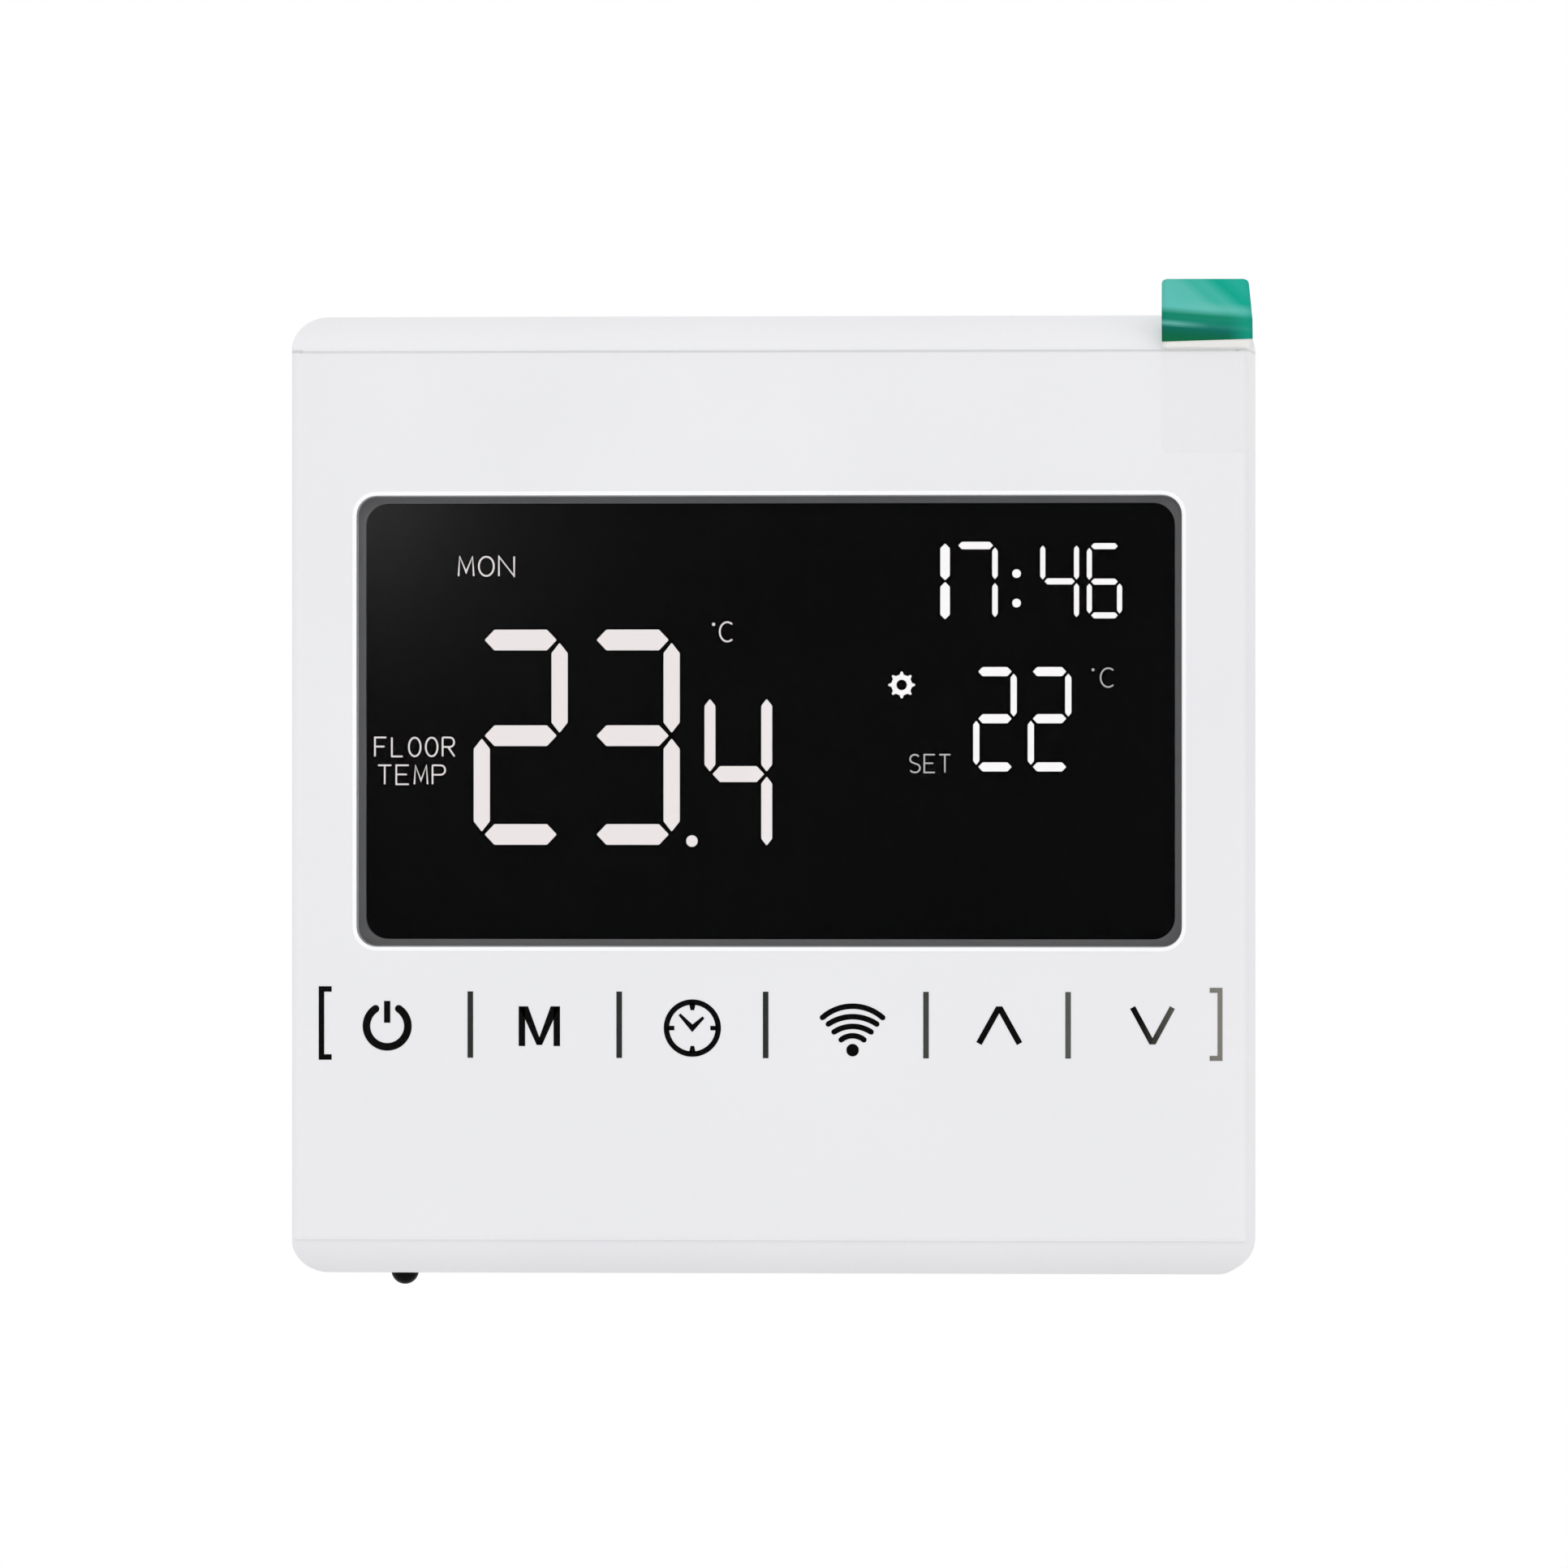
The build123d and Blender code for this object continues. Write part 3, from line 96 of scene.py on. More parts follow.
class Nodes:
    """Short way to add and join the nodes of one tree."""

    def __init__(self, tree: bpy.types.NodeTree) -> None:
        """Work on one node tree."""
        self.tree = tree

    def add(self, kind: str, inputs: dict | None = None, **values: object) -> Node:
        """Add a node with its properties and sockets set.

        Args:
            kind: Blender's name for the node type.
            inputs: Socket name or number to plain value, or to the socket that feeds it.
            **values: Node properties.

        Returns:
            The new node.
        """
        node = self.tree.nodes.new(kind)
        for key, value in values.items():
            setattr(node, key, value)
        self.fill(node, inputs or {})
        return node

    def fill(self, node: Node, inputs: dict) -> None:
        """Set a node's sockets to plain values, or link them where the value is a socket.

        Args:
            node: Node to fill.
            inputs: Socket name or number to value.
        """
        for key, value in inputs.items():
            if isinstance(value, Socket):
                self.tree.links.new(value, node.inputs[key])
            else:
                node.inputs[key].default_value = value

    def socket(self, name: str, kind: str, way: str = "INPUT") -> str:
        """Add a socket to the tree's own interface and give its identifier."""
        return self.tree.interface.new_socket(name, in_out=way, socket_type="NodeSocket" + kind).identifier

    def math(self, work: str, first: Socket, second: object = 0.0) -> Socket:
        """Work on a socket and a second socket or number."""
        return self.add("ShaderNodeMath", {0: first, 1: second}, operation=work).outputs[0]

    def ramp(self, value: Socket, low: Point, high: Point, unit: float = 1.0) -> Socket:
        """Map a value from one span, in a unit, to another, held at the ends."""
        ends = {0: value, 1: low[0] * unit, 2: low[1] * unit, 3: high[0], 4: high[1]}
        return self.add("ShaderNodeMapRange", ends).outputs[0]

    def near(self, value: Socket, at: float, half: float) -> Socket:
        """Give 1 where a value meets a mark in millimetres, falling to 0 at a half width on both sides."""
        off = self.math("ABSOLUTE", self.math("SUBTRACT", value, at * MM))
        return self.ramp(off, (0.0, half), (1.0, 0.0), MM)

    def mix(self, share: Socket, first: object, second: object) -> Socket:
        """Mix two colours or colour sockets by the share of the second."""
        return self.add("ShaderNodeMix", {0: share, 6: first, 7: second}, data_type="RGBA").outputs[2]

    def noise(self, place: Socket, scale: object, detail: float = 2.0) -> Socket:
        """Give a noise texture's value."""
        inputs = {"Vector": place, "Scale": scale, "Detail": detail}
        return self.add("ShaderNodeTexNoise", inputs).outputs[0]

    def looked_at(self) -> Socket:
        """Tell what is looked at from what only lights.

        Returns:
            Socket with 1 for what is seen straight, in gloss or through glass, and 0 for the rest.
        """
        rays = self.add("ShaderNodeLightPath").outputs
        seen = self.math("MAXIMUM", rays["Is Camera Ray"], rays["Is Glossy Ray"])
        return self.math("MAXIMUM", seen, rays["Is Transmission Ray"])

    def cross(self, share: Socket, first: Node, second: Node, end: Node) -> None:
        """Mix two shaders by the share of the second into an output."""
        choice = self.add("ShaderNodeMixShader", {0: share, 1: first.outputs[0], 2: second.outputs[0]})
        self.fill(end, {"Surface": choice.outputs[0]})


class PatternTree(Nodes):
    """Shader node group of one surface pattern, with Vector and Scale in, Shade and Height out."""

    contrast: Point = (0.3, 0.7)

    def __init__(self, pattern: Pattern) -> None:
        """Build the group by the method that has the pattern's name.

        Args:
            pattern: Pattern wanted.
        """
        super().__init__(bpy.data.node_groups.new(pattern.value, "ShaderNodeTree"))
        self.socket("Vector", "Vector")
        self.socket("Scale", "Float")
        self.socket("Shade", "Float", "OUTPUT")
        self.socket("Height", "Float", "OUTPUT")
        self.place, self.scale = self.add("NodeGroupInput").outputs[:2]
        shade, height = getattr(self, pattern.name.lower())()
        self.add("NodeGroupOutput", {0: shade, 1: height})

    def scaled(self, share: float) -> Socket:
        """Give a share of the pattern's scale."""
        return self.math("MULTIPLY", self.scale, share)

    def blend(self, first: Socket, second: Socket, share: float) -> Socket:
        """Add two values, the second by its share and the first by the rest."""
        rest = self.math("MULTIPLY", first, 1 - share)
        return self.math("ADD", rest, self.math("MULTIPLY", second, share))

    def grain(self) -> tuple[Socket, Socket]:
        """Give shade and height of fine spark-eroded grain with soft clouds."""
        fine, cloud = self.noise(self.place, self.scale, 3.0), self.noise(self.place, self.scaled(0.015))
        return self.ramp(self.blend(cloud, fine, 0.3), self.contrast, UNIT), fine

    def brushed(self) -> tuple[Socket, Socket]:
        """Draw the streaks of drawing and machining along X.

        Returns:
            Shade and height sockets.
        """
        turn = self.add("ShaderNodeMapping", {"Vector": self.place, "Scale": (0.04, 1.0, 1.0)})
        streak = self.noise(turn.outputs[0], self.scale, 4.0)
        smudge = self.noise(self.place, self.scaled(0.1))
        return self.ramp(self.blend(streak, smudge, 0.4), self.contrast, UNIT), streak

    def spangle(self) -> tuple[Socket, Socket]:
        """Lay the crystal flakes of hot-dip zinc.

        Returns:
            Shade and height sockets.
        """
        cells = self.add("ShaderNodeTexVoronoi", {"Vector": self.place, "Scale": self.scale}).outputs
        flake = self.add("ShaderNodeSeparateColor", {0: cells["Color"]}).outputs[0]
        fine = self.noise(self.place, self.scaled(6.0), 3.0)
        return self.blend(flake, fine, 0.3), self.math("ADD", cells["Distance"], fine)

    def traces(self) -> tuple[Socket, Socket]:
        """Run copper tracks and round pads under solder mask.

        Returns:
            Shade and height sockets.
        """
        parts = self.add("ShaderNodeSeparateXYZ", {0: self.place}).outputs
        flat = self.add("ShaderNodeCombineXYZ", {"X": parts["X"], "Y": parts["Z"]}).outputs[0]
        region = self.noise(flat, self.scaled(0.22), 1.0)
        pad = {"Vector": flat, "Scale": self.scaled(0.55), "Randomness": 0.8}
        rings = self.add("ShaderNodeTexVoronoi", pad, voronoi_dimensions="2D").outputs["Distance"]
        metal = self.ramp(rings, (0.14, 0.17), (1.0, 0.0))
        brick = {
            "Color1": BLACK, "Color2": BLACK, "Mortar": WHITE, "Mortar Size": 0.06, "Mortar Smooth": 0.2,
            "Row Height": 0.7, "Scale": self.scale,
        }
        for turn, width, span, ends in ((0.0, 6.2, (0.5, 0.52), UNIT), (math.pi / 2, 4.4, (0.46, 0.48), (1.0, 0.0))):
            way = self.add("ShaderNodeMapping", {"Vector": flat, "Rotation": (0.0, 0.0, turn)}).outputs[0]
            rows = self.add("ShaderNodeTexBrick", {**brick, "Vector": way, "Brick Width": width}, offset_frequency=3)
            line = self.add("ShaderNodeSeparateColor", {0: rows.outputs["Color"]}).outputs[0]
            metal = self.math("MAXIMUM", metal, self.math("MULTIPLY", line, self.ramp(region, span, ends)))
        return metal, metal


class Coat(Nodes):
    """One material in work: its shader, its pattern's shade and the piece's own coordinates."""

    bump_height: float = 0.02

    def __init__(self, finish: "Finish") -> None:
        """Make the material, lay the finish's gloss and relief on it and paint it.

        Args:
            finish: Finish to lay on.
        """
        self.material = bpy.data.materials.new("finish_" + finish.slot)
        self.material.use_nodes = True
        super().__init__(self.material.node_tree)
        self.shader = self.tree.nodes["Principled BSDF"]
        self.place = self.add("ShaderNodeTexCoord").outputs["Object"]
        tree = bpy.data.node_groups.get(finish.pattern.value) or PatternTree(finish.pattern).tree
        inputs = {"Vector": self.place, "Scale": finish.scale}
        pattern = self.add("ShaderNodeGroup", inputs, node_tree=tree).outputs
        self.shade = pattern["Shade"]
        bump = {"Strength": finish.relief, "Distance": self.bump_height * MM, "Height": pattern["Height"]}
        half = finish.spread / 2
        self.lay({
            "Metallic": finish.metallic,
            "Specular IOR Level": finish.specular,
            "Roughness": self.ramp(self.shade, UNIT, (finish.roughness - half, finish.roughness + half)),
            "Normal": self.add("ShaderNodeBump", bump).outputs[0],
        })
        finish.paint(self)

    def lay(self, inputs: dict) -> None:
        """Set sockets of the shader."""
        self.fill(self.shader, inputs)

    def axis(self, name: str) -> Socket:
        """Give one of the piece's own coordinates, in metres."""
        return self.add("ShaderNodeSeparateXYZ", {0: self.place}).outputs[name]

    def stops(self, value: Socket, stops: Stops) -> Socket:
        """Give the colour along a value in millimetres.

        Args:
            value: Socket with the value in metres.
            stops: Colours at values, in rising order.

        Returns:
            The colour socket.
        """
        low, high = stops[0][0], stops[-1][0]
        band = self.add("ShaderNodeValToRGB", {0: self.ramp(value, (low, high), UNIT, MM)})
        elements = band.color_ramp.elements
        while len(elements) < len(stops):
            elements.new(1.0)
        for element, (at, colour) in zip(elements, stops):
            element.position = (at - low) / (high - low)
            element.color = colour
        return band.outputs[0]


@dataclass(frozen=True)
class Finish:
    """One opaque finish: two close colours, a pattern, gloss and relief."""

    slot: str
    colour: Colour
    second: Colour
    roughness: float
    spread: float = 0.08
    metallic: float = 0.0
    specular: float = 0.5
    pattern: Pattern = Pattern.GRAIN
    scale: float = 2600.0
    relief: float = 0.06

    def material(self) -> Material:
        """Build the material."""
        return Coat(self).material

    def paint(self, coat: Coat) -> None:
        """Lay the two colours on by the pattern's shade."""
        coat.lay({"Base Color": coat.mix(coat.shade, self.colour, self.second)})


@dataclass(frozen=True)
class Moulding(Finish):
    """Moulded cover whose top crease runs on round both side edges as a painted shade line."""

    crease: float = 39.78
    half: float = 0.22
    sides: Point = (41.8, 42.1)
    # Colour of the painted shade along the crease near both side edges
    shade: Colour = tint(205, 205, 207)

    def paint(self, coat: Coat) -> None:
        """Paint the crease's shade at its ends over the plain colours.

        Args:
            coat: Material in work.
        """
        plain = coat.mix(coat.shade, self.colour, self.second)
        ends = coat.ramp(coat.math("ABSOLUTE", coat.axis("X")), self.sides, UNIT, MM)
        # Painted crease shade, only near the side edges
        line = coat.math("MULTIPLY", coat.near(coat.axis("Z"), self.crease, self.half), ends)
        coat.lay({"Base Color": coat.mix(line, plain, self.shade)})


@dataclass(frozen=True)
class SeeThrough(Finish):
    """A finish that lets light through both faces of a piece, less so near set heights above and below its middle: a
    darker line on the film's edges, partly its own edge and partly painted crease shade, and a pale strip of painted
    light on the clear tape.
    """

    alpha: float = 0.5
    edge: float = 0.0
    edge_width: float = 0.25
    upper: float = 0.0
    lower: float = 0.0

    def paint(self, coat: Coat) -> None:
        """Lay the colours on and let light through.

        Args:
            coat: Material in work.
        """
        super().paint(coat)
        coat.lay({"Alpha": self.alpha})
        # Less see-through near set heights: on the film a darker line that is partly its own edge and partly painted
        # crease shade; on the clear tape a pale strip of painted light
        if self.edge:
            height, inner = coat.axis("Z"), self.edge - self.edge_width
            top = coat.ramp(height, (inner, self.edge), (self.alpha, self.upper), MM)
            foot = coat.ramp(height, (-inner, -self.edge), (self.alpha, self.lower), MM)
            coat.lay({"Alpha": coat.math("MAXIMUM", top, foot)})
        coat.material.surface_render_method = "BLENDED"


@dataclass(frozen=True)
class Ink(Finish):
    """Printed ink whose colour gets lighter from left to right."""

    fade: Point = (33.4, 42.0)
    thinnest: float = 0.95
    mottle: float = 0.02

    def paint(self, coat: Coat) -> None:
        """Make the ink lighter along X.

        Args:
            coat: Material in work.
        """
        # Share of the lighter colour, rising along X
        thin = coat.ramp(coat.axis("X"), self.fade, (0.0, self.thinnest), MM)
        share = coat.math("ADD", thin, coat.math("MULTIPLY", coat.shade, self.mottle))
        coat.lay({"Base Color": coat.mix(share, self.colour, self.second)})


@dataclass(frozen=True)
class Glow(Finish):
    """Lit display segment, whose light changes tone from left to right."""

    strength: float = 1.9
    fade: Point = (-3.0, 12.0)
    unlit: Colour = (0.02, 0.02, 0.02, 1.0)

    def paint(self, coat: Coat) -> None:
        """Light the segment, in a tone that changes along X."""
        light = coat.mix(coat.ramp(coat.axis("X"), self.fade, UNIT, MM), self.colour, self.second)
        coat.lay({"Base Color": self.unlit, "Emission Color": light, "Emission Strength": self.strength})


@dataclass(frozen=True)
class Tape(Finish):
    """Glossy tape painted with light: a painted slanting sheen above its fold, painted bands of shade below, a
    lighter right end, and two painted glints along it.
    """

    fold: float = 43.06
    fold_half: float = 0.3
    middle: float = 39.4
    sag: float = 0.08
    sheen_line: Point = (38.75, 46.2)
    sheen_slope: float = 1.15
    # Painted sheen above the fold, by place along the slant
    sheen: Stops = (
        (-5.0, tint(92, 191, 180)), (-2.4, tint(87, 188, 174)), (-1.2, tint(60, 179, 160)),
        (-0.2, tint(65, 180, 164)), (0.6, tint(34, 171, 150)), (1.15, tint(0, 164, 140)), (2.6, tint(32, 172, 152)),
    )
    # Painted bands of shade below the fold, by height
    bands: Stops = (
        (40.6, tint(0, 104, 66)), (41.0, tint(0, 104, 74)), (41.4, tint(0, 106, 90)),
        (41.8, tint(0, 117, 102)), (42.2, tint(0, 130, 108)), (42.5, tint(0, 132, 104)),
    )
    # Lighter tone towards the right end, below the fold
    right_end: Point = (41.2, 43.0)
    right_shade: Colour = tint(10, 150, 126)
    # Colour of the painted glints
    gleam: Colour = tint(118, 198, 188)
    # Height, half width, and strength at the left and at the right of each glint
    glints: Table = ((41.89, 0.34, 0.68, 0.08), (43.5, 0.6, 0.0, 0.45))
    glint_span: Point = (36.6, 39.6)

    def paint(self, coat: Coat) -> None:
        """Paint the sheen, the bands of shade, the lighter right end and the glints by the place on the tape.

        Args:
            coat: Material in work.
        """
        across, up = coat.axis("X"), coat.axis("Z")
        slant = coat.math("ADD", across, coat.math("MULTIPLY", up, self.sheen_slope))
        start = (self.sheen_line[0] + self.sheen_line[1] * self.sheen_slope) * MM
        upper = coat.stops(coat.math("SUBTRACT", slant, start), self.sheen)
        sag = coat.math("MULTIPLY", coat.math("SUBTRACT", across, self.middle * MM), self.sag)
        height = coat.math("ADD", up, sag)
        right = coat.ramp(across, self.right_end, UNIT, MM)
        lower = coat.mix(right, coat.stops(height, self.bands), self.right_shade)
        above = coat.ramp(height, (self.fold - self.fold_half, self.fold + self.fold_half), UNIT, MM)
        colour = coat.mix(above, lower, upper)
        # Painted glints, each fading from left to right
        for at, half, *strengths in self.glints:
            fade = coat.ramp(across, self.glint_span, strengths, MM)
            line = coat.math("MULTIPLY", coat.near(height, at, half), fade)
            colour = coat.mix(line, colour, self.gleam)
        coat.lay({"Base Color": colour})


DRAWN = {"metallic": 1.0, "pattern": Pattern.BRUSHED}
TRACKS = {"pattern": Pattern.TRACES, "relief": 0.5}
SPANGLED = {"metallic": 1.0, "pattern": Pattern.SPANGLE}
FINISHES = (
    Moulding("white_plastic", tint(238, 238, 240), tint(234, 234, 237), 0.46),
    SeeThrough("lens", tint(5, 5, 6), tint(7, 7, 8), 0.085, 0.02, specular=0.03, relief=0.01, alpha=0.385),
    Finish("lcd_glass", tint(8, 8, 10), tint(12, 12, 13), 0.3, specular=0.05, relief=0.02),
    Finish("light_guide", tint(236, 239, 240), tint(225, 230, 234), 0.3, relief=0.03),
    Finish("tinned_metal", tint(205, 207, 209), tint(176, 179, 182), 0.32, 0.14, **DRAWN, scale=1800.0),
    Finish("circuit_board", tint(20, 84, 54), tint(48, 122, 84), 0.38, 0.1, **TRACKS, scale=420.0),
    Finish("steel", tint(196, 198, 201), tint(160, 163, 167), 0.3, 0.14, **DRAWN, scale=2400.0),
    Finish("spring_steel", tint(168, 171, 176), tint(136, 140, 146), 0.34, 0.12, **DRAWN, scale=2400.0),
    Finish("black_resin", tint(3, 3, 3), tint(8, 8, 9), 0.3, 0.1, specular=0.06),
    Finish("radio_board", tint(20, 40, 84), tint(56, 84, 128), 0.36, 0.1, **TRACKS, scale=700.0),
    Finish("black_plastic", tint(26, 26, 28), tint(36, 36, 38), 0.5, 0.1),
    # Screen film; its darker edge line is partly the film's own edge and partly painted shade of the crease
    SeeThrough(
        "clear_film", tint(84, 85, 88), tint(92, 92, 94), 0.12, 0.05, relief=0.02,
        alpha=0.003, edge=39.8, edge_width=0.24, upper=0.12, lower=0.015,
    ),
    Tape("green_tape", tint(30, 160, 134), tint(22, 138, 113), 0.24, 0.06, specular=0.1, scale=700.0, relief=0.08),
    Finish("zinc_plate", tint(198, 202, 206), tint(176, 182, 188), 0.42, 0.16, **SPANGLED, scale=380.0, relief=0.1),
    Finish("housing_plastic", tint(224, 224, 222), tint(214, 214, 212), 0.55, 0.1, relief=0.12),
    Finish("brass", tint(214, 184, 118), tint(186, 152, 88), 0.34, 0.14, **DRAWN, scale=2000.0),
    Finish("relay_case", tint(30, 58, 112), tint(24, 48, 98), 0.36),
    Finish("ferrite", tint(56, 56, 58), tint(72, 72, 74), 0.6, 0.15, scale=1800.0, relief=0.2),
    Finish("winding_tape", tint(224, 186, 60), tint(206, 164, 44), 0.3, 0.12, scale=500.0),
    Finish("aluminium_can", tint(190, 193, 197), tint(158, 161, 166), 0.3, 0.1, **DRAWN, scale=1400.0),
    Finish("capacitor_case", tint(214, 178, 62), tint(200, 162, 52), 0.4),
    Finish("varistor_coat", tint(30, 86, 156), tint(24, 72, 136), 0.35, scale=1500.0, relief=0.12),
    Finish("fuse_glass", tint(206, 214, 214), tint(184, 194, 196), 0.12, 0.06, relief=0.02),
    Finish("terminal_plastic", tint(40, 42, 46), tint(50, 52, 56), 0.48, 0.1, relief=0.1),
)

KEY_INK = Ink("key_ink", tint(3, 3, 3), tint(142, 139, 130), 0.6, specular=0.02)
SEPARATOR_INK = Ink(
    "separator_ink", tint(43, 46, 43), tint(96, 98, 93), 0.6, specular=0.08, fade=(4.0, 34.0), thinnest=0.9
)
# Bright white of the painted highlight on the cover's edge round the window
WINDOW_EDGE_HIGHLIGHT = Finish("window_edge_highlight", tint(254, 254, 255), tint(251, 251, 253), 0.3)
TERMINAL_PRINT = Finish("terminal_print", tint(226, 226, 222), tint(206, 206, 202), 0.6)
LIT = Glow("lit_segment", tint(239, 232, 232), tint(254, 252, 253), 0.5, specular=0.05, strength=2.55)
DIM = Glow("dim_segment", tint(216, 214, 214), tint(210, 208, 208), 0.5, specular=0.05, strength=2.2)
# Clear tape; its pale, nearly opaque strip under the green end, fading in from 39.8 to 40.1 mm, is painted light
# over the green end's shadow
CLEAR_TAPE = SeeThrough(
    "clear_tape", tint(246, 245, 242), tint(244, 243, 240), 0.14, 0.06, relief=0.05,
    alpha=0.05, edge=40.1, edge_width=0.3, upper=0.85,
)


def plain_object(name: str, data: bpy.types.ID) -> Piece:
    """Put a mesh, a camera or a lamp in the scene, at the origin.

    Args:
        name: Name of the new object.
        data: What it holds.

    Returns:
        The new object.
    """
    piece = bpy.data.objects.new(name, data)
    bpy.context.scene.collection.objects.link(piece)
    return piece


def drawn_object(name: str, drawing: bmesh.types.BMesh, finish: Material) -> Piece:
    """Make a drawn mesh a piece of the scene, and free the drawing.

    Args:
        name: Name of the new piece.
        drawing: Mesh in work.
        finish: Its material.

    Returns:
        The new object.
    """
    mesh = bpy.data.meshes.new(name)
    drawing.to_mesh(mesh)
    drawing.free()
    mesh.materials.append(finish)
    return plain_object(name, mesh)


def seat(piece: Piece, body: Body) -> None:
    """Let a finished piece ride on its body.

    Args:
        piece: Finished piece.
        body: Body that it moves with.
    """
    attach(piece, body.value)
    LOG.info("%s rides on %s with %d faces", piece.name, body.value, len(piece.data.polygons))


class Marks:
    """Flat marks drawn as seen from the room, made into one thin raised piece."""

    cap_turns: tuple[float, ...] = (0.25, 0.5, 0.75, 0.95)
    mitre_limit: float = 0.3
    arc_step: float = 6.0
    fewest_steps: int = 8
    disc_steps: int = 16
    bar_tip: float = 0.06

    def __init__(self, front: float, back: float) -> None:
        """Start with no marks, between the depth of their face and of the surface that they lie on."""
        self.depths = (front, back)
        self.mesh = bmesh.new()

    def strip(self, ribs: Sequence[Rib], closed: bool = False) -> None:
        """Add a band between pairs of points.

        Args:
            ribs: Left and right point of each rib along the band.
            closed: Whether the last rib meets the first.
        """
        rings = []
        for rib in ribs:
            corners = [(p[0] * MM, y * MM, p[1] * MM) for y in self.depths for p in rib]
            rings.append([self.mesh.verts.new(corner) for corner in corners])
        for a, b in zip(rings, rings[1:] + rings[:1] if closed else rings[1:]):
            for i, j in ((0, 1), (1, 3), (3, 2), (2, 0)):
                self.mesh.faces.new((a[i], a[j], b[j], b[i]))
        for ring in () if closed else (rings[0], rings[-1]):
            self.mesh.faces.new([ring[i] for i in (0, 1, 3, 2)])

    def stroke(
        self, line: Sequence[Point], width: float, closed: bool = False, round_ends: bool = False, bend: float = 1.0
    ) -> None:
        """Add a line, mitred at its bends.

        Args:
            line: Points of its middle.
            width: Width of the line at its ends.
            closed: Whether it comes back to its start.
            round_ends: Whether open ends are rounded.
            bend: Share of the width that the line has at its bends.
        """
        points = [Vector(p) for p in line]
        last = len(points) - 1
        steps = [(points[i + 1 if i < last else 0] - points[i]).normalized() for i in range(last + 1)]
        ribs = []
        for i, point in enumerate(points):
            before = steps[i - 1] if closed or i else steps[0]
            after = steps[i] if closed or i < last else steps[last - 1]
            side = Vector((-before.y - after.y, before.x + after.x))
            side *= width / 2 / max(self.mitre_limit, 1 + before.dot(after))
            side *= bend if 0 < i < last else 1.0
            ribs.append((point + side, point - side))
        if round_ends:
            ribs = self.cap(points[0], -steps[0], width)[::-1] + ribs + self.cap(points[-1], steps[last - 1], width)
        self.strip(ribs, closed)

    def cap(self, end: Vector, way: Vector, width: float) -> list[tuple[Vector, Vector]]:
        """Give the ribs of a rounded end.

        Args:
            end: Point where the line stops.
            way: Direction that it stops in.
            width: Width of the line.

        Returns:
            Ribs from the end outwards, left and right as the line runs.
        """
        ribs = []
        for turn in self.cap_turns:
            angle = turn * math.pi / 2
            tip = end + way * (width / 2 * math.sin(angle))
            side = Vector((-way.y, way.x)) * (width / 2 * math.cos(angle))
            ribs.append((tip + side, tip - side))
        return ribs

    def arc(self, centre: Point, radius: float, start: float, end: float, width: float) -> None:
        """Add a round-ended arc, or a ring where it turns right round.

        Args:
            centre: Middle of the arc.
            radius: Radius to the middle of the line.
            start: First angle in degrees.
            end: Last angle in degrees.
            width: Width of the line.
        """
        whole = abs(end - start) >= 360
        steps = max(self.fewest_steps, int(abs(end - start) / self.arc_step))
        line = turned(start, end, centre, (radius, radius), steps)
        self.stroke(line[:-1] if whole else line, width, closed=whole, round_ends=not whole)

    def bar(self, start: Point, end: Point, width: float, tip: float) -> None:
        """Add a display segment with pointed ends.

        Args:
            start: First point.
            end: Last point.
            width: Width of the segment.
            tip: Length of each pointed end.
        """
        a, b = Vector(start), Vector(end)
        way = (b - a).normalized()
        side = Vector((-way.y, way.x)) * (width / 2)
        places = ((a, self.bar_tip), (a + way * tip, 1.0), (b - way * tip, 1.0), (b, self.bar_tip))
        self.strip([(place + side * share, place - side * share) for place, share in places])

    def disc(self, centre: Point, radius: float) -> None:
        """Add a filled disc as a band from side to side."""
        line = turned(180, 0, centre, (radius, radius), self.disc_steps)
        self.strip([((x, z), (x, 2 * centre[1] - z)) for x, z in line[1:-1]])

    def finish(self, name: str, finish: Finish) -> Piece:
        """Make the marks one piece, of a name and a finish."""
        bmesh.ops.recalc_face_normals(self.mesh, faces=self.mesh.faces[:])
        return drawn_object(name, self.mesh, finish.material())


def turned(start: float, end: float, middle: Point, radii: Point, steps: int = 14) -> tuple[Point, ...]:
    """Give points along part of an ellipse, from a first to a last angle in degrees."""
    angles = [math.radians(start + (end - start) * i / steps) for i in range(steps + 1)]
    return tuple((middle[0] + radii[0] * math.cos(a), middle[1] + radii[1] * math.sin(a)) for a in angles)


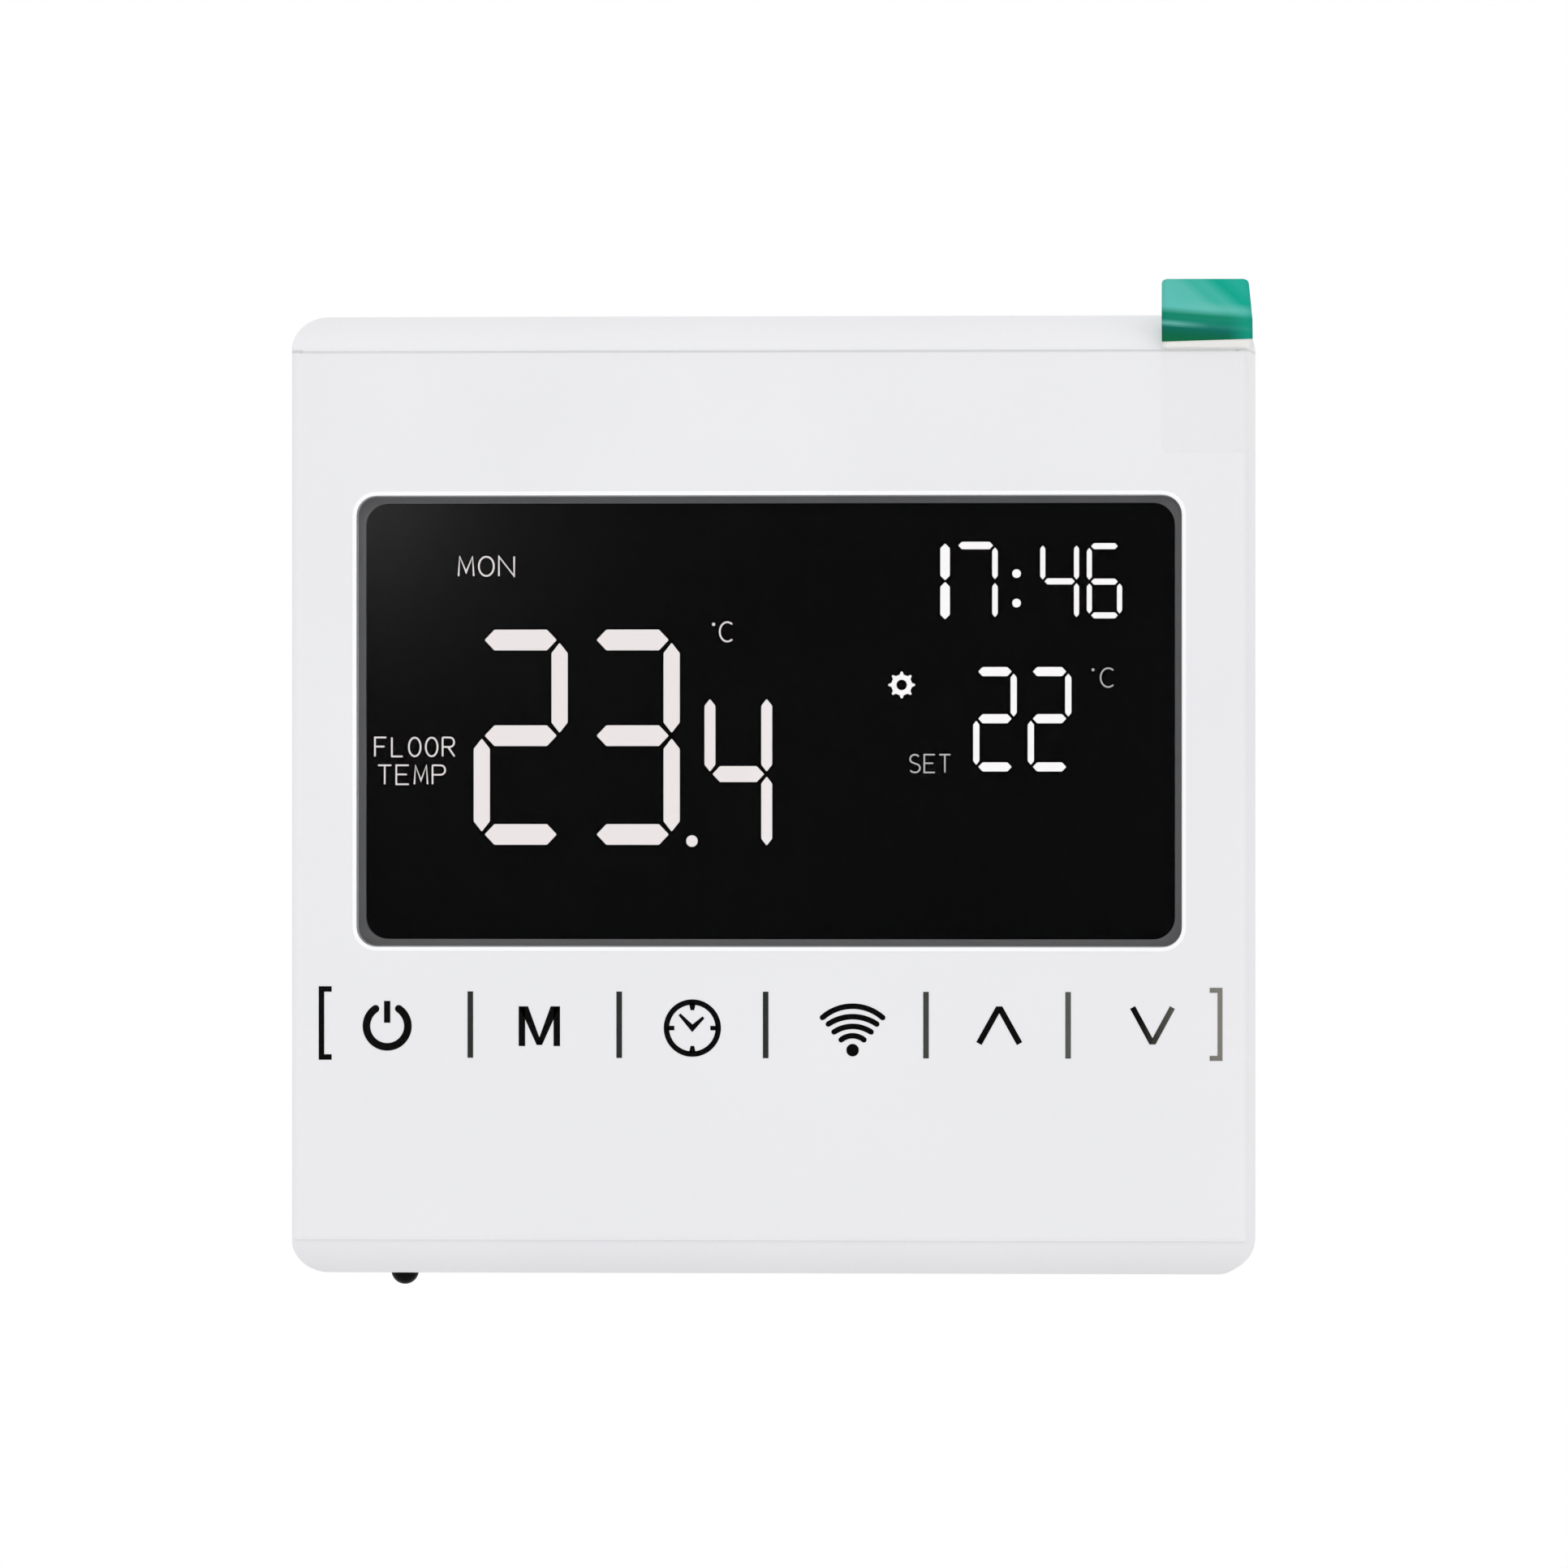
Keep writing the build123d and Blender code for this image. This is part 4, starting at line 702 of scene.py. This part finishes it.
# Stroke letters and numbers in a box one wide and one high
STEM = ((0.0, 0.0), (0.0, 1.0))
MIDDLE = ((0.0, 0.52), (0.8, 0.52))
BOWL = ((0.0, 1.0), (0.55, 1.0), *turned(80, -80, (0.6, 0.75), (0.36, 0.25)), (0.55, 0.5), (0.0, 0.5))
UPPER_S, LOWER_S = turned(35, 250, (0.5, 0.75), (0.42, 0.25)), turned(70, -150, (0.5, 0.25), (0.46, 0.25))
LETTERS: dict[str, tuple[tuple[Point, ...], ...]] = {
    "1": (((0.15, 0.78), (0.55, 1.0), (0.55, 0.0)),),
    "2": ((*turned(165, -35, (0.5, 0.71), (0.45, 0.29)), (0.02, 0.0), (1.0, 0.0)),),
    "3": (turned(150, -80, (0.45, 0.75), (0.42, 0.25)), turned(80, -150, (0.45, 0.26), (0.5, 0.26))),
    "4": (((0.74, 0.0), (0.74, 1.0), (0.0, 0.28), (1.0, 0.28)),),
    "5": (((0.9, 1.0), (0.16, 1.0), (0.08, 0.53), *turned(128, -150, (0.46, 0.31), (0.5, 0.31))),),
    "6": (((0.76, 1.0), *turned(150, 495, (0.5, 0.31), (0.48, 0.31))),),
    "C": (turned(50, 310, (0.55, 0.5), (0.5, 0.5)),),
    "E": (((0.95, 0.0), *STEM, (0.95, 1.0)), MIDDLE),
    "F": ((*STEM, (0.95, 1.0)), MIDDLE),
    "L": (((0.0, 1.0), (0.0, 0.0), (0.9, 0.0)),),
    "M": (((0.0, 0.0), (0.08, 1.0), (0.5, 0.2), (0.92, 1.0), (1.0, 0.0)),),
    "N": ((*STEM, (1.0, 0.0), (1.0, 1.0)),),
    "O": (turned(90, 450, (0.5, 0.5), (0.5, 0.5)),),
    "P": (STEM, BOWL),
    "R": (STEM, BOWL, ((0.45, 0.5), (1.0, 0.0))),
    "S": ((*UPPER_S[:13], (0.52, 0.5), *LOWER_S[1:]),),
    "T": (((0.0, 1.0), (1.0, 1.0)), ((0.5, 1.0), (0.5, 0.0))),
}


@dataclass(frozen=True)
class Word:
    """A short generic legend in stroke letters."""

    text: str
    left: float
    right: float
    low: float
    high: float
    line: float = 0.2
    gap: float = 0.45
    from_behind: bool = False

    def draw(self, marks: Marks) -> None:
        """Draw the letters one after the other.

        Args:
            marks: Piece to draw on.
        """
        pitch = (self.right - self.left + self.gap) / len(self.text)
        way, wide, tall = -1 if self.from_behind else 1, pitch - self.gap, self.high - self.low
        for i, letter in enumerate(self.text):
            x = self.left + i * pitch
            for line in LETTERS[letter]:
                marks.stroke([(way * (x + u * wide), self.low + v * tall) for u, v in line], self.line)


# Segments lit for each number, named from the top clockwise, the middle one last
LIT_SEGMENTS = {"2": "abged", "3": "abgcd", "4": "fgbc", "6": "afgecd", "7": "abc"}


@dataclass(frozen=True)
class Digit:
    """A seven-segment number, its sizes taken along the segments' middles."""

    value: str
    left: float
    right: float
    top: float
    middle: float
    bottom: float
    upright: float
    level: float
    gap: float = 0.12
    gap_share: float = 0.1
    upright_tip: float = 0.6
    level_tip: float = 0.45

    def draw(self, marks: Marks) -> None:
        """Draw the segments that are lit.

        Args:
            marks: Piece to draw on.
        """
        ease = self.gap + self.gap_share * self.level
        left, right, middle = self.left, self.right, self.middle
        upper, lower = (self.top - ease, middle + ease), (middle - ease, self.bottom + ease)
        level = {"a": self.top, "g": middle, "d": self.bottom}
        upright = {"f": (left, upper), "b": (right, upper), "e": (left, lower), "c": (right, lower)}
        for segment in LIT_SEGMENTS[self.value]:
            if segment in level:
                z = level[segment]
                marks.bar((left + ease, z), (right - ease, z), self.level, self.level * self.level_tip)
            else:
                x, (high, low) = upright[segment]
                marks.bar((x, high), (x, low), self.upright, self.upright * self.upright_tip)


class RowOfShapes(Nodes):
    """Geometry Nodes tree that sets one shape on every point of a mesh."""

    size_names: dict[Repeat, tuple[str, ...]] = {
        Repeat.BAR: ("Width", "Depth", "Height"),
        Repeat.SOLDER: ("Radius Bottom", "Radius Top", "Depth"),
    }
    cone_steps: dict[str, int] = {"Vertices": 12, "Side Segments": 3}

    def __init__(self, shape: Repeat, size: Place, finish: Material) -> None:
        """Build the tree.

        Args:
            shape: Shape to repeat.
            size: Sizes of the shape, in the order of their names.
            finish: Material of the shapes.
        """
        super().__init__(bpy.data.node_groups.new(shape.value, "GeometryNodeTree"))
        self.socket("Geometry", "Geometry")
        names = self.size_names[shape]
        self.sizes = {self.socket(name, "Float"): value * MM for name, value in zip(names, size)}
        self.socket("Geometry", "Geometry", "OUTPUT")
        points, *sizes = self.add("NodeGroupInput").outputs[:4]
        if shape is Repeat.BAR:
            box = self.add("ShaderNodeCombineXYZ", dict(enumerate(sizes)))
            one, turn = self.add("GeometryNodeMeshCube", {"Size": box.outputs[0]}), (0.0, 0.0, 0.0)
        else:
            cone = {**self.cone_steps, **dict(zip(names, sizes))}
            one, turn = self.add("GeometryNodeMeshCone", cone), (-math.pi / 2, 0.0, 0.0)
        row = {"Points": points, "Instance": one.outputs["Mesh"], "Rotation": turn}
        spread = self.add("GeometryNodeInstanceOnPoints", row)
        real = self.add("GeometryNodeRealizeInstances", {0: spread.outputs[0]})
        coat = self.add("GeometryNodeSetMaterial", {"Geometry": real.outputs[0], "Material": finish})
        self.add("NodeGroupOutput", {0: coat.outputs[0]})

    def on(self, name: str, points: Iterable[Place]) -> Piece:
        """Set the shape on points and keep the result as a plain mesh.

        Args:
            name: Name of the piece.
            points: Places of the shapes.

        Returns:
            The finished object.
        """
        seed = bpy.data.meshes.new(name + "_points")
        seed.from_pydata([tuple(value * MM for value in p) for p in points], [], [])
        carrier = plain_object(name + "_points", seed)
        modifier = carrier.modifiers.new("row", "NODES")
        modifier.node_group = self.tree
        for socket, value in self.sizes.items():
            modifier[socket] = value
        graph = bpy.context.evaluated_depsgraph_get()
        mesh = bpy.data.meshes.new_from_object(carrier.evaluated_get(graph))
        mesh.name = name
        bpy.data.objects.remove(carrier)
        return plain_object(name, mesh)


@dataclass
class KeyRow:
    """Printed signs of the six touch keys, with brackets and separators."""

    row: float = -20.75
    # Side, reach, rise, drop and line of each bracket
    bracket_sizes: Table = ((-1, 40.26, 3.32, 2.79, 0.49), (1, 40.49, 3.28, 2.8, 0.44))
    bracket_arm: float = 0.92
    power: float = -34.33
    power_ring: float = 1.87
    power_turn: Point = (124, 416)
    power_bar: Point = (2.25, 0.3)
    power_lines: Point = (0.68, 0.56)
    mode: float = -20.61
    mode_half: float = 1.78
    mode_reach: tuple[float, ...] = (1.86, 1.28, 1.02, 1.8, -0.24, 0.24)
    mode_lift: float = 0.1
    clock: Point = (-6.84, -20.9)
    clock_ring: float = 2.33
    clock_lines: Place = (0.48, 0.4, 0.24)
    side_tick: Point = (2.2, 1.62)
    upright_tick: Rib = ((2.2, 0.3), (1.6, 0.16))
    hands: tuple[Point, ...] = ((-1.15, 1.22), (0.0, -0.02), (1.0, 0.96))
    hub_share: float = 2.0
    radio: float = 7.56
    # Top, half width and rise of each arc
    radio_arcs: Table = ((1.83, 2.7, 1.02), (0.89, 2.17, 0.66), (0.02, 1.66, 0.5), (-0.82, 1.02, 0.36))
    radio_line: float = 0.49
    radio_dot: Point = (-2.11, 0.56)
    # Place, way, half width, line and lift of each arrow
    arrow_sizes: Table = ((20.72, 1, 1.82, 0.54, 0.0), (34.45, -1, 1.78, 0.5, 0.24))
    arrow_rise: Point = (-1.5, 1.55)
    arrow_flat: float = 0.12
    separators: tuple[float, ...] = (-26.83, -13.42, -0.25, 14.15, 26.89)
    separator_lift: float = 0.14
    separator_size: Place = (0.5, PRINT, 5.95)
    marks: Marks = field(default_factory=lambda: Marks(FACE - PRINT, FACE))

    def build(self) -> None:
        """Draw every sign as one print, and set the separators between them."""
        self.brackets()
        self.power_sign()
        self.mode_sign()
        self.clock_sign()
        self.radio_sign()
        self.arrows()
        seat(self.marks.finish("key_signs", KEY_INK), Body.FRONT)
        bars = RowOfShapes(Repeat.BAR, self.separator_size, SEPARATOR_INK.material())
        points = [(x, FACE - PRINT / 2, self.row + self.separator_lift) for x in self.separators]
        seat(bars.on("key_separators", points), Body.FRONT)

    def brackets(self) -> None:
        """Draw the square brackets at both ends."""
        for side, outer, rise, drop, width in self.bracket_sizes:
            inner, high, low = outer - self.bracket_arm, self.row + rise, self.row - drop
            line = [(inner, high), (outer, high), (outer, low), (inner, low)]
            self.marks.stroke([(side * x, z) for x, z in line], width)

    def power_sign(self) -> None:
        """Draw the broken ring with its bar."""
        ring_line, bar_line = self.power_lines
        self.marks.arc((self.power, self.row), self.power_ring, *self.power_turn, ring_line)
        self.marks.stroke([(self.power, self.row + rise) for rise in self.power_bar], bar_line)

    def mode_sign(self) -> None:
        """Draw the mode key's capital."""
        low, high = self.row - self.mode_half, self.row + self.mode_half
        foot = low + self.mode_lift
        for side in (-1, 1):
            outer, inner, tip, heel, near, far = (self.mode + side * reach for reach in self.mode_reach)
            self.marks.strip([((outer, low), (inner, low)), ((outer, high), (inner, high))])
            self.marks.strip([((tip, high), (heel, high)), ((near, foot), (far, foot))])

    def clock_sign(self) -> None:
        """Draw the clock face with four marks and two hands."""
        x, z = self.clock
        ring_line, tick_line, hand_line = self.clock_lines
        self.marks.arc(self.clock, self.clock_ring, 0, 360, ring_line)
        for way in (-1, 1):
            self.marks.stroke([(x + way * reach, z) for reach in self.side_tick], tick_line)
            rows = [(z + way * reach, half) for reach, half in self.upright_tick]
            self.marks.strip([((x - half, row), (x + half, row)) for row, half in rows])
        self.marks.stroke([(x + u, z + v) for u, v in self.hands], hand_line, bend=self.hub_share)

    def radio_sign(self) -> None:
        """Draw four plain arcs over a dot."""
        for top, half, rise in self.radio_arcs:
            radius = (half * half + rise * rise) / (2 * rise)
            spread = math.degrees(math.asin(half / radius))
            centre = (self.radio, self.row + top - radius)
            self.marks.arc(centre, radius, 90 + spread, 90 - spread, self.radio_line)
        drop, dot = self.radio_dot
        self.marks.disc((self.radio, self.row + drop), dot)

    def arrows(self) -> None:
        """Draw the up and down arrows."""
        flat = self.arrow_flat
        for x, way, half, width, lift in self.arrow_sizes:
            foot, apex = (self.row + lift + way * rise for rise in self.arrow_rise)
            self.marks.stroke([(x - half, foot), (x - flat, apex), (x + flat, apex), (x + half, foot)], width)


@dataclass
class Display:
    """Lit numbers, units and legends on the glass behind the dark window."""

    glass: float = -11.25
    digits: tuple[Digit, ...] = (
        Digit("2", -26.0, -18.98, 13.9, 5.31, -3.56, 1.46, 1.86),
        Digit("3", -15.9, -8.88, 13.9, 5.31, -3.56, 1.46, 1.86),
        Digit("4", -5.43, -0.32, 8.83, 1.86, -4.78, 0.98, 1.43),
        Digit("7", 16.74, 20.2, 22.34, 19.15, 15.75, 0.5, 0.67),
        Digit("4", 24.49, 27.52, 22.5, 19.12, 15.75, 0.46, 0.55),
        Digit("6", 28.67, 31.38, 22.27, 19.09, 16.07, 0.46, 0.54),
        Digit("2", 18.52, 21.88, 11.04, 6.82, 2.5, 0.56, 0.82),
        Digit("2", 23.42, 26.78, 11.04, 6.82, 2.5, 0.56, 0.82),
    )
    first_digit: float = 15.72
    first_bars: tuple[Point, ...] = ((22.5, 19.25), (19.05, 15.75))
    first_width: float = 0.86
    first_tip: float = 0.4
    legends: tuple[Word, ...] = (
        Word("MON", -28.1, -23.08, 19.65, 21.4, 0.15),
        Word("FLOOR", -35.65, -28.46, 3.45, 5.15, 0.15),
        Word("TEMP", -35.36, -29.26, 0.95, 2.65, 0.145),
        Word("C", -4.62, -3.25, 13.75, 15.5, 0.15),
    )
    dots: tuple[Place, ...] = ((-7.05, -4.15, 0.52), (22.14, 19.82, 0.39), (22.14, 17.18, 0.39), (-5.1, 15.3, 0.15))
    cog: Point = (11.82, 9.85)
    cog_steps: int = 48
    # Steps from tooth to tooth, and on a tooth's tip
    cog_tooth: tuple[int, int] = (6, 2)
    cog_radii: Place = (1.2, 0.93, 0.47)
    dim_legends: tuple[Word, ...] = (
        Word("SET", 12.5, 16.2, 2.0, 3.6, 0.13, 0.35),
        Word("C", 29.6, 31.0, 9.65, 11.35, 0.13),
    )
    dim_dots: tuple[Place, ...] = ((29.0, 11.2, 0.13),)

    def build(self) -> None:
        """Draw the bright and the dim marks on the glass."""
        marks = self.draw((*self.digits, *self.legends), self.dots)
        for high, low in self.first_bars:
            marks.bar((self.first_digit, high), (self.first_digit, low), self.first_width, self.first_tip)
        marks.strip(self.cog_ribs(), closed=True)
        seat(marks.finish("lit_segments", LIT), Body.FRONT)
        marks = self.draw(self.dim_legends, self.dim_dots)
        seat(marks.finish("dim_segments", DIM), Body.FRONT)

    def draw(self, words: Iterable[Digit | Word], dots: Iterable[Place]) -> Marks:
        """Start a piece with numbers, legends and dots.

        Args:
            words: Numbers and legends.
            dots: Middle and radius of each dot.

        Returns:
            The marks so far.
        """
        marks = Marks(self.glass - PRINT, self.glass)
        for word in words:
            word.draw(marks)
        for x, z, radius in dots:
            marks.disc((x, z), radius)
        return marks

    def cog_ribs(self) -> list[Rib]:
        """Give the ribs of the small cog wheel, from its teeth to its hole.

        Returns:
            Outer and inner point of each rib.
        """
        start, count = -180 / self.cog_steps, self.cog_steps
        tooth, root, hole = (turned(start, start + 360, self.cog, (r, r), count) for r in self.cog_radii)
        pitch, tip = self.cog_tooth
        return [(tooth[i] if i % pitch < tip else root[i], hole[i]) for i in range(count)]


@dataclass
class WindowEdge:
    """Painted highlight on the cover's moulded edge round the window: a thin bright white line."""

    half_width: float = 37.28
    half_height: float = 20.43
    centre: float = 6.6
    corner: float = 1.98
    width: float = 0.36

    def build(self) -> None:
        """Lay the painted highlight round the window as one closed line."""
        line = []
        for turn, way_x, way_z in ((0, 1, 1), (90, -1, 1), (180, -1, -1), (270, 1, -1)):
            x = way_x * (self.half_width - self.corner)
            z = self.centre + way_z * (self.half_height - self.corner)
            line += turned(turn, turn + 90, (x, z), (self.corner, self.corner), 6)
        marks = Marks(FACE - PRINT, FACE)
        marks.stroke(line, self.width, closed=True)
        seat(marks.finish("window_edge_highlight", WINDOW_EDGE_HIGHLIGHT), Body.FRONT)


@dataclass
class PeelTab:
    """Tape tab of the screen film: a clear stuck end and a folded green end."""

    left: float = 35.31
    right: float = 43.44
    taper: float = 0.4
    thickness: float = 0.1
    film_front: float = -13.455
    stuck_low: float = 30.62
    film_edge: float = 39.8
    green_low: float = 40.5
    slope: float = 0.24
    fold: float = 42.2
    top: float = 46.1
    stand_off: float = 0.55
    lean: float = 0.25
    curl: float = 0.132
    curl_left: float = 0.35
    twist: float = 0.34
    twist_start: float = 1.15
    corner: float = 0.45
    columns: int = 14
    clear_rows: int = 26
    green_rows: int = 64
    least_facing: float = 0.3

    def build(self) -> None:
        """Make both ends of the tape and set them in the place of the plain tab."""
        stuck, free = CLEAR_TAPE.material(), bpy.data.materials["finish_green_tape"]
        clear = self.band("tab_clear_end", self.stuck_low, self.green_low, self.clear_rows, stuck)
        green = self.band("tab_green_end", self.green_low, self.top, self.green_rows, free)
        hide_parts("pull_tab")
        seat(clear, Body.FILM)
        seat(green, Body.FILM)

    def depth(self, z: float, share: float) -> float:
        """Depth of the tape's back at a height.

        Args:
            z: Height on the tape.
            share: Place across the tape, 0 at its left edge and 1 at its right.

        Returns:
            Depth of its back face.
        """
        if z <= self.film_edge:
            return self.film_front
        if z <= self.fold:
            rise = (z - self.film_edge) / (self.fold - self.film_edge)
            return self.film_front - self.stand_off * (3 * rise**2 - 2 * rise**3)
        fall = (z - self.fold) / (self.top - self.fold)
        curl = self.curl * math.sin(math.pi * fall) * (self.curl_left + (1 - self.curl_left) * share)
        twist = self.twist * max(0.0, fall + share - self.twist_start)
        return self.film_front - self.stand_off + self.lean * fall + curl + twist

    def edges(self, z: float, low: float, high: float) -> Point:
        """Left and right edge at a height, drawn in where a free corner is rounded.

        Args:
            z: Height on the tape.
            low: Lower end of this piece.
            high: Upper end of this piece.

        Returns:
            Left and right edge.
        """
        near = high - z if high == self.top else z - low
        inset = max(0.0, self.corner - near)
        trim = self.corner - math.sqrt(max(0.0, self.corner**2 - inset**2))
        narrow = self.taper * max(0.0, z - self.fold) / (self.top - self.fold)
        return self.left + trim, self.right - narrow - trim

    def band(self, name: str, low: float, high: float, rows: int, finish: Material) -> Piece:
        """Make one length of tape as a thin closed sheet.

        Args:
            name: Name of the piece.
            low: Its lower end.
            high: Its upper end.
            rows: Steps along it.
            finish: Its material.

        Returns:
            The finished object.
        """
        made = bmesh.new()
        grid = []
        for i in range(rows + 1):
            part = i / rows
            flat = low + (high - low) * part
            start, end = self.edges(flat, low, high)
            seam = self.slope * (1 - part if low == self.green_low else part)
            row = []
            for j in range(self.columns + 1):
                share = j / self.columns
                x, z = start + (end - start) * share, flat + seam * share
                y = self.depth(z, share)
                row.append([made.verts.new((x * MM, (y - t) * MM, z * MM)) for t in (self.thickness, 0.0)])
            grid.append(row)
        for below, above in zip(grid, grid[1:]):
            for j in range(self.columns):
                cell = (below[j], below[j + 1], above[j + 1], above[j])
                made.faces.new([corner[0] for corner in cell])
                made.faces.new([corner[1] for corner in reversed(cell)])
        rim = grid[0][:-1] + [row[-1] for row in grid[:-1]] + grid[-1][:0:-1] + [row[0] for row in grid[:0:-1]]
        for a, b in zip(rim, rim[1:] + rim[:1]):
            made.faces.new((b[0], a[0], a[1], b[1]))
        bmesh.ops.recalc_face_normals(made, faces=made.faces[:])
        for face in made.faces:
            face.smooth = abs(face.normal.y) > self.least_facing
        return drawn_object(name, made, finish)


@dataclass
class Boards:
    """Solder on the control board."""

    control_back: float = -4.85
    pin_pitch: float = 2.5
    pin_count: int = 20
    pin_height: float = 27.55
    cone: Place = (0.85, 0.35, 0.5)

    def build(self) -> None:
        """Set a solder cone on every display pin that comes through the board."""
        row = RowOfShapes(Repeat.SOLDER, self.cone, bpy.data.materials["finish_tinned_metal"])
        first = -(self.pin_count - 1) / 2 * self.pin_pitch
        pins = [(first + i * self.pin_pitch, self.control_back, self.pin_height) for i in range(self.pin_count)]
        seat(row.on("display_pin_solder", pins), Body.FRONT)


@dataclass
class TerminalNumbers:
    """Plain numbers printed over the terminals, read from behind."""

    block_back: float = 25.3
    poles: tuple[float, ...] = (-18.0, -10.8, -3.6, 3.6, 10.8, 18.0)
    low: float = -16.9
    high: float = -15.1
    width: float = 1.1
    line: float = 0.22

    def build(self) -> None:
        """Print each terminal's number above its screw."""
        marks = Marks(self.block_back + PRINT, self.block_back)
        for number, x in enumerate(self.poles, 1):
            left, right = -x - self.width / 2, -x + self.width / 2
            Word(str(number), left, right, self.low, self.high, self.line, gap=0.0, from_behind=True).draw(marks)
        seat(marks.finish("terminal_numbers", TERMINAL_PRINT), Body.BASE)


@dataclass
class Dressing:
    """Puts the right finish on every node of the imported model."""

    finishes: tuple[Finish, ...] = FINISHES

    def dress(self) -> None:
        """Give each node the material of its slot."""
        made = {finish.slot: finish.material() for finish in self.finishes}
        for name, node in sorted(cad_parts.items()):
            slots = [slot.material.name.split(".")[0] for slot in node.material_slots]
            for i, slot in enumerate(slots):
                node.material_slots[i].material = made[slot]
            LOG.info("%s dressed as %s", name, ", ".join(slots))


@dataclass
class Studio:
    """Camera, soft light, pale floor and white surroundings."""

    azimuth: float = 4.6
    distance: float = 1400.0
    aim: Place = (1.4, -13.3, 0.97)
    sensor: float = 36.0
    clip: Point = (0.01, 100.0)
    # Pixels across the view by pixels to the millimetre
    frame_width: float = 1932 / 13.757
    bounces: int = 24
    floor_height: float = -160.0
    floor_half: float = 6000.0
    floor_fade: Point = (0.2, 0.6)
    floor_colours: tuple[Colour, Colour] = (tint(246, 246, 247), tint(250, 250, 250))
    floor_specks: float = 40.0
    floor_roughness: float = 0.9
    floor_specular: float = 0.1
    room_light: float = 0.84
    # Name, place, side and watts of each lamp
    lamps: tuple[tuple[str, Place, float, float], ...] = (
        ("key_light", (-500.0, -1700.0, 1100.0), 1300.0, 6.0),
        ("fill_light", (1700.0, -900.0, 0.0), 1400.0, 3.0),
        ("window_glow", (-226.0, -1688.0, 66.0), 40.0, 0.22),
    )

    def build(self) -> None:
        """Set up everything round the object."""
        bpy.context.scene.view_settings.view_transform = "Standard"
        bpy.context.scene.cycles.transparent_max_bounces = self.bounces
        self.camera()
        self.world()
        self.light()
        self.floor()

    def stand(self, name: str, data: bpy.types.ID, place: Vector, target: Vector) -> Piece:
        """Stand a camera or a lamp in the room.

        Args:
            name: Its name.
            data: Camera or lamp.
            place: Where it stands.
            target: What it looks at.

        Returns:
            The new object.
        """
        thing = plain_object(name, data)
        thing.location = place * MM
        thing.rotation_euler = (target - place).to_track_quat("-Z", "Y").to_euler()
        return thing

    def camera(self) -> None:
        """Stand the camera a little to the right of the face's middle."""
        data = bpy.data.cameras.new("camera")
        data.sensor_width = self.sensor
        data.lens = self.sensor * self.distance / self.frame_width
        data.clip_start, data.clip_end = self.clip
        turn, target = math.radians(self.azimuth), Vector(self.aim)
        place = target + Vector((math.sin(turn), -math.cos(turn), 0.0)) * self.distance
        bpy.context.scene.camera = self.stand("camera", data, place, target)

    def light(self) -> None:
        """Stand square soft lamps round the object, turned to it."""
        for name, place, size, watts in self.lamps:
            data = bpy.data.lights.new(name, "AREA")
            data.size, data.energy = size * MM, watts
            self.stand(name, data, Vector(place), Vector())

    def world(self) -> None:
        """White surroundings for the eye, for gloss and for glass, and an even soft light."""
        world = bpy.data.worlds.new("studio")
        world.use_nodes = True
        bpy.context.scene.world = world
        nodes = Nodes(world.node_tree)
        soft = world.node_tree.nodes["Background"]
        nodes.fill(soft, {"Color": WHITE, "Strength": self.room_light})
        white = nodes.add("ShaderNodeBackground", {"Color": WHITE, "Strength": 1.0})
        nodes.cross(nodes.looked_at(), soft, white, world.node_tree.nodes["World Output"])

    def floor(self) -> None:
        """Lay a pale floor below the object that runs out into white."""
        half = self.floor_half
        corners = [(-half, -half), (half, -half), (half, half), (-half, half)]
        mesh = bpy.data.meshes.new("floor")
        mesh.from_pydata([(x * MM, y * MM, self.floor_height * MM) for x, y in corners], [], [(0, 1, 2, 3)])
        material = bpy.data.materials.new("pale_floor")
        material.use_nodes = True
        nodes = Nodes(material.node_tree)
        shader = material.node_tree.nodes["Principled BSDF"]
        place = nodes.add("ShaderNodeTexCoord").outputs["Object"]
        colour = nodes.mix(nodes.noise(place, self.floor_specks), *self.floor_colours)
        gloss = {"Roughness": self.floor_roughness, "Specular IOR Level": self.floor_specular}
        nodes.fill(shader, {**gloss, "Base Color": colour})
        reach = nodes.add("ShaderNodeVectorMath", {0: place}, operation="LENGTH").outputs["Value"]
        share = nodes.math("MULTIPLY", nodes.ramp(reach, self.floor_fade, UNIT), nodes.looked_at())
        white = nodes.add("ShaderNodeEmission", {"Color": WHITE, "Strength": 1.0})
        nodes.cross(share, shader, white, material.node_tree.nodes["Material Output"])
        mesh.materials.append(material)
        plain_object("floor", mesh)


def main() -> None:
    """Build the studio and every sub-assembly in order."""
    logging.basicConfig(level=logging.INFO, format="%(name)s: %(message)s")
    Studio().build()
    Dressing().dress()
    Display().build()
    WindowEdge().build()
    KeyRow().build()
    PeelTab().build()
    Boards().build()
    TerminalNumbers().build()


if __name__ == "__main__":
    main()
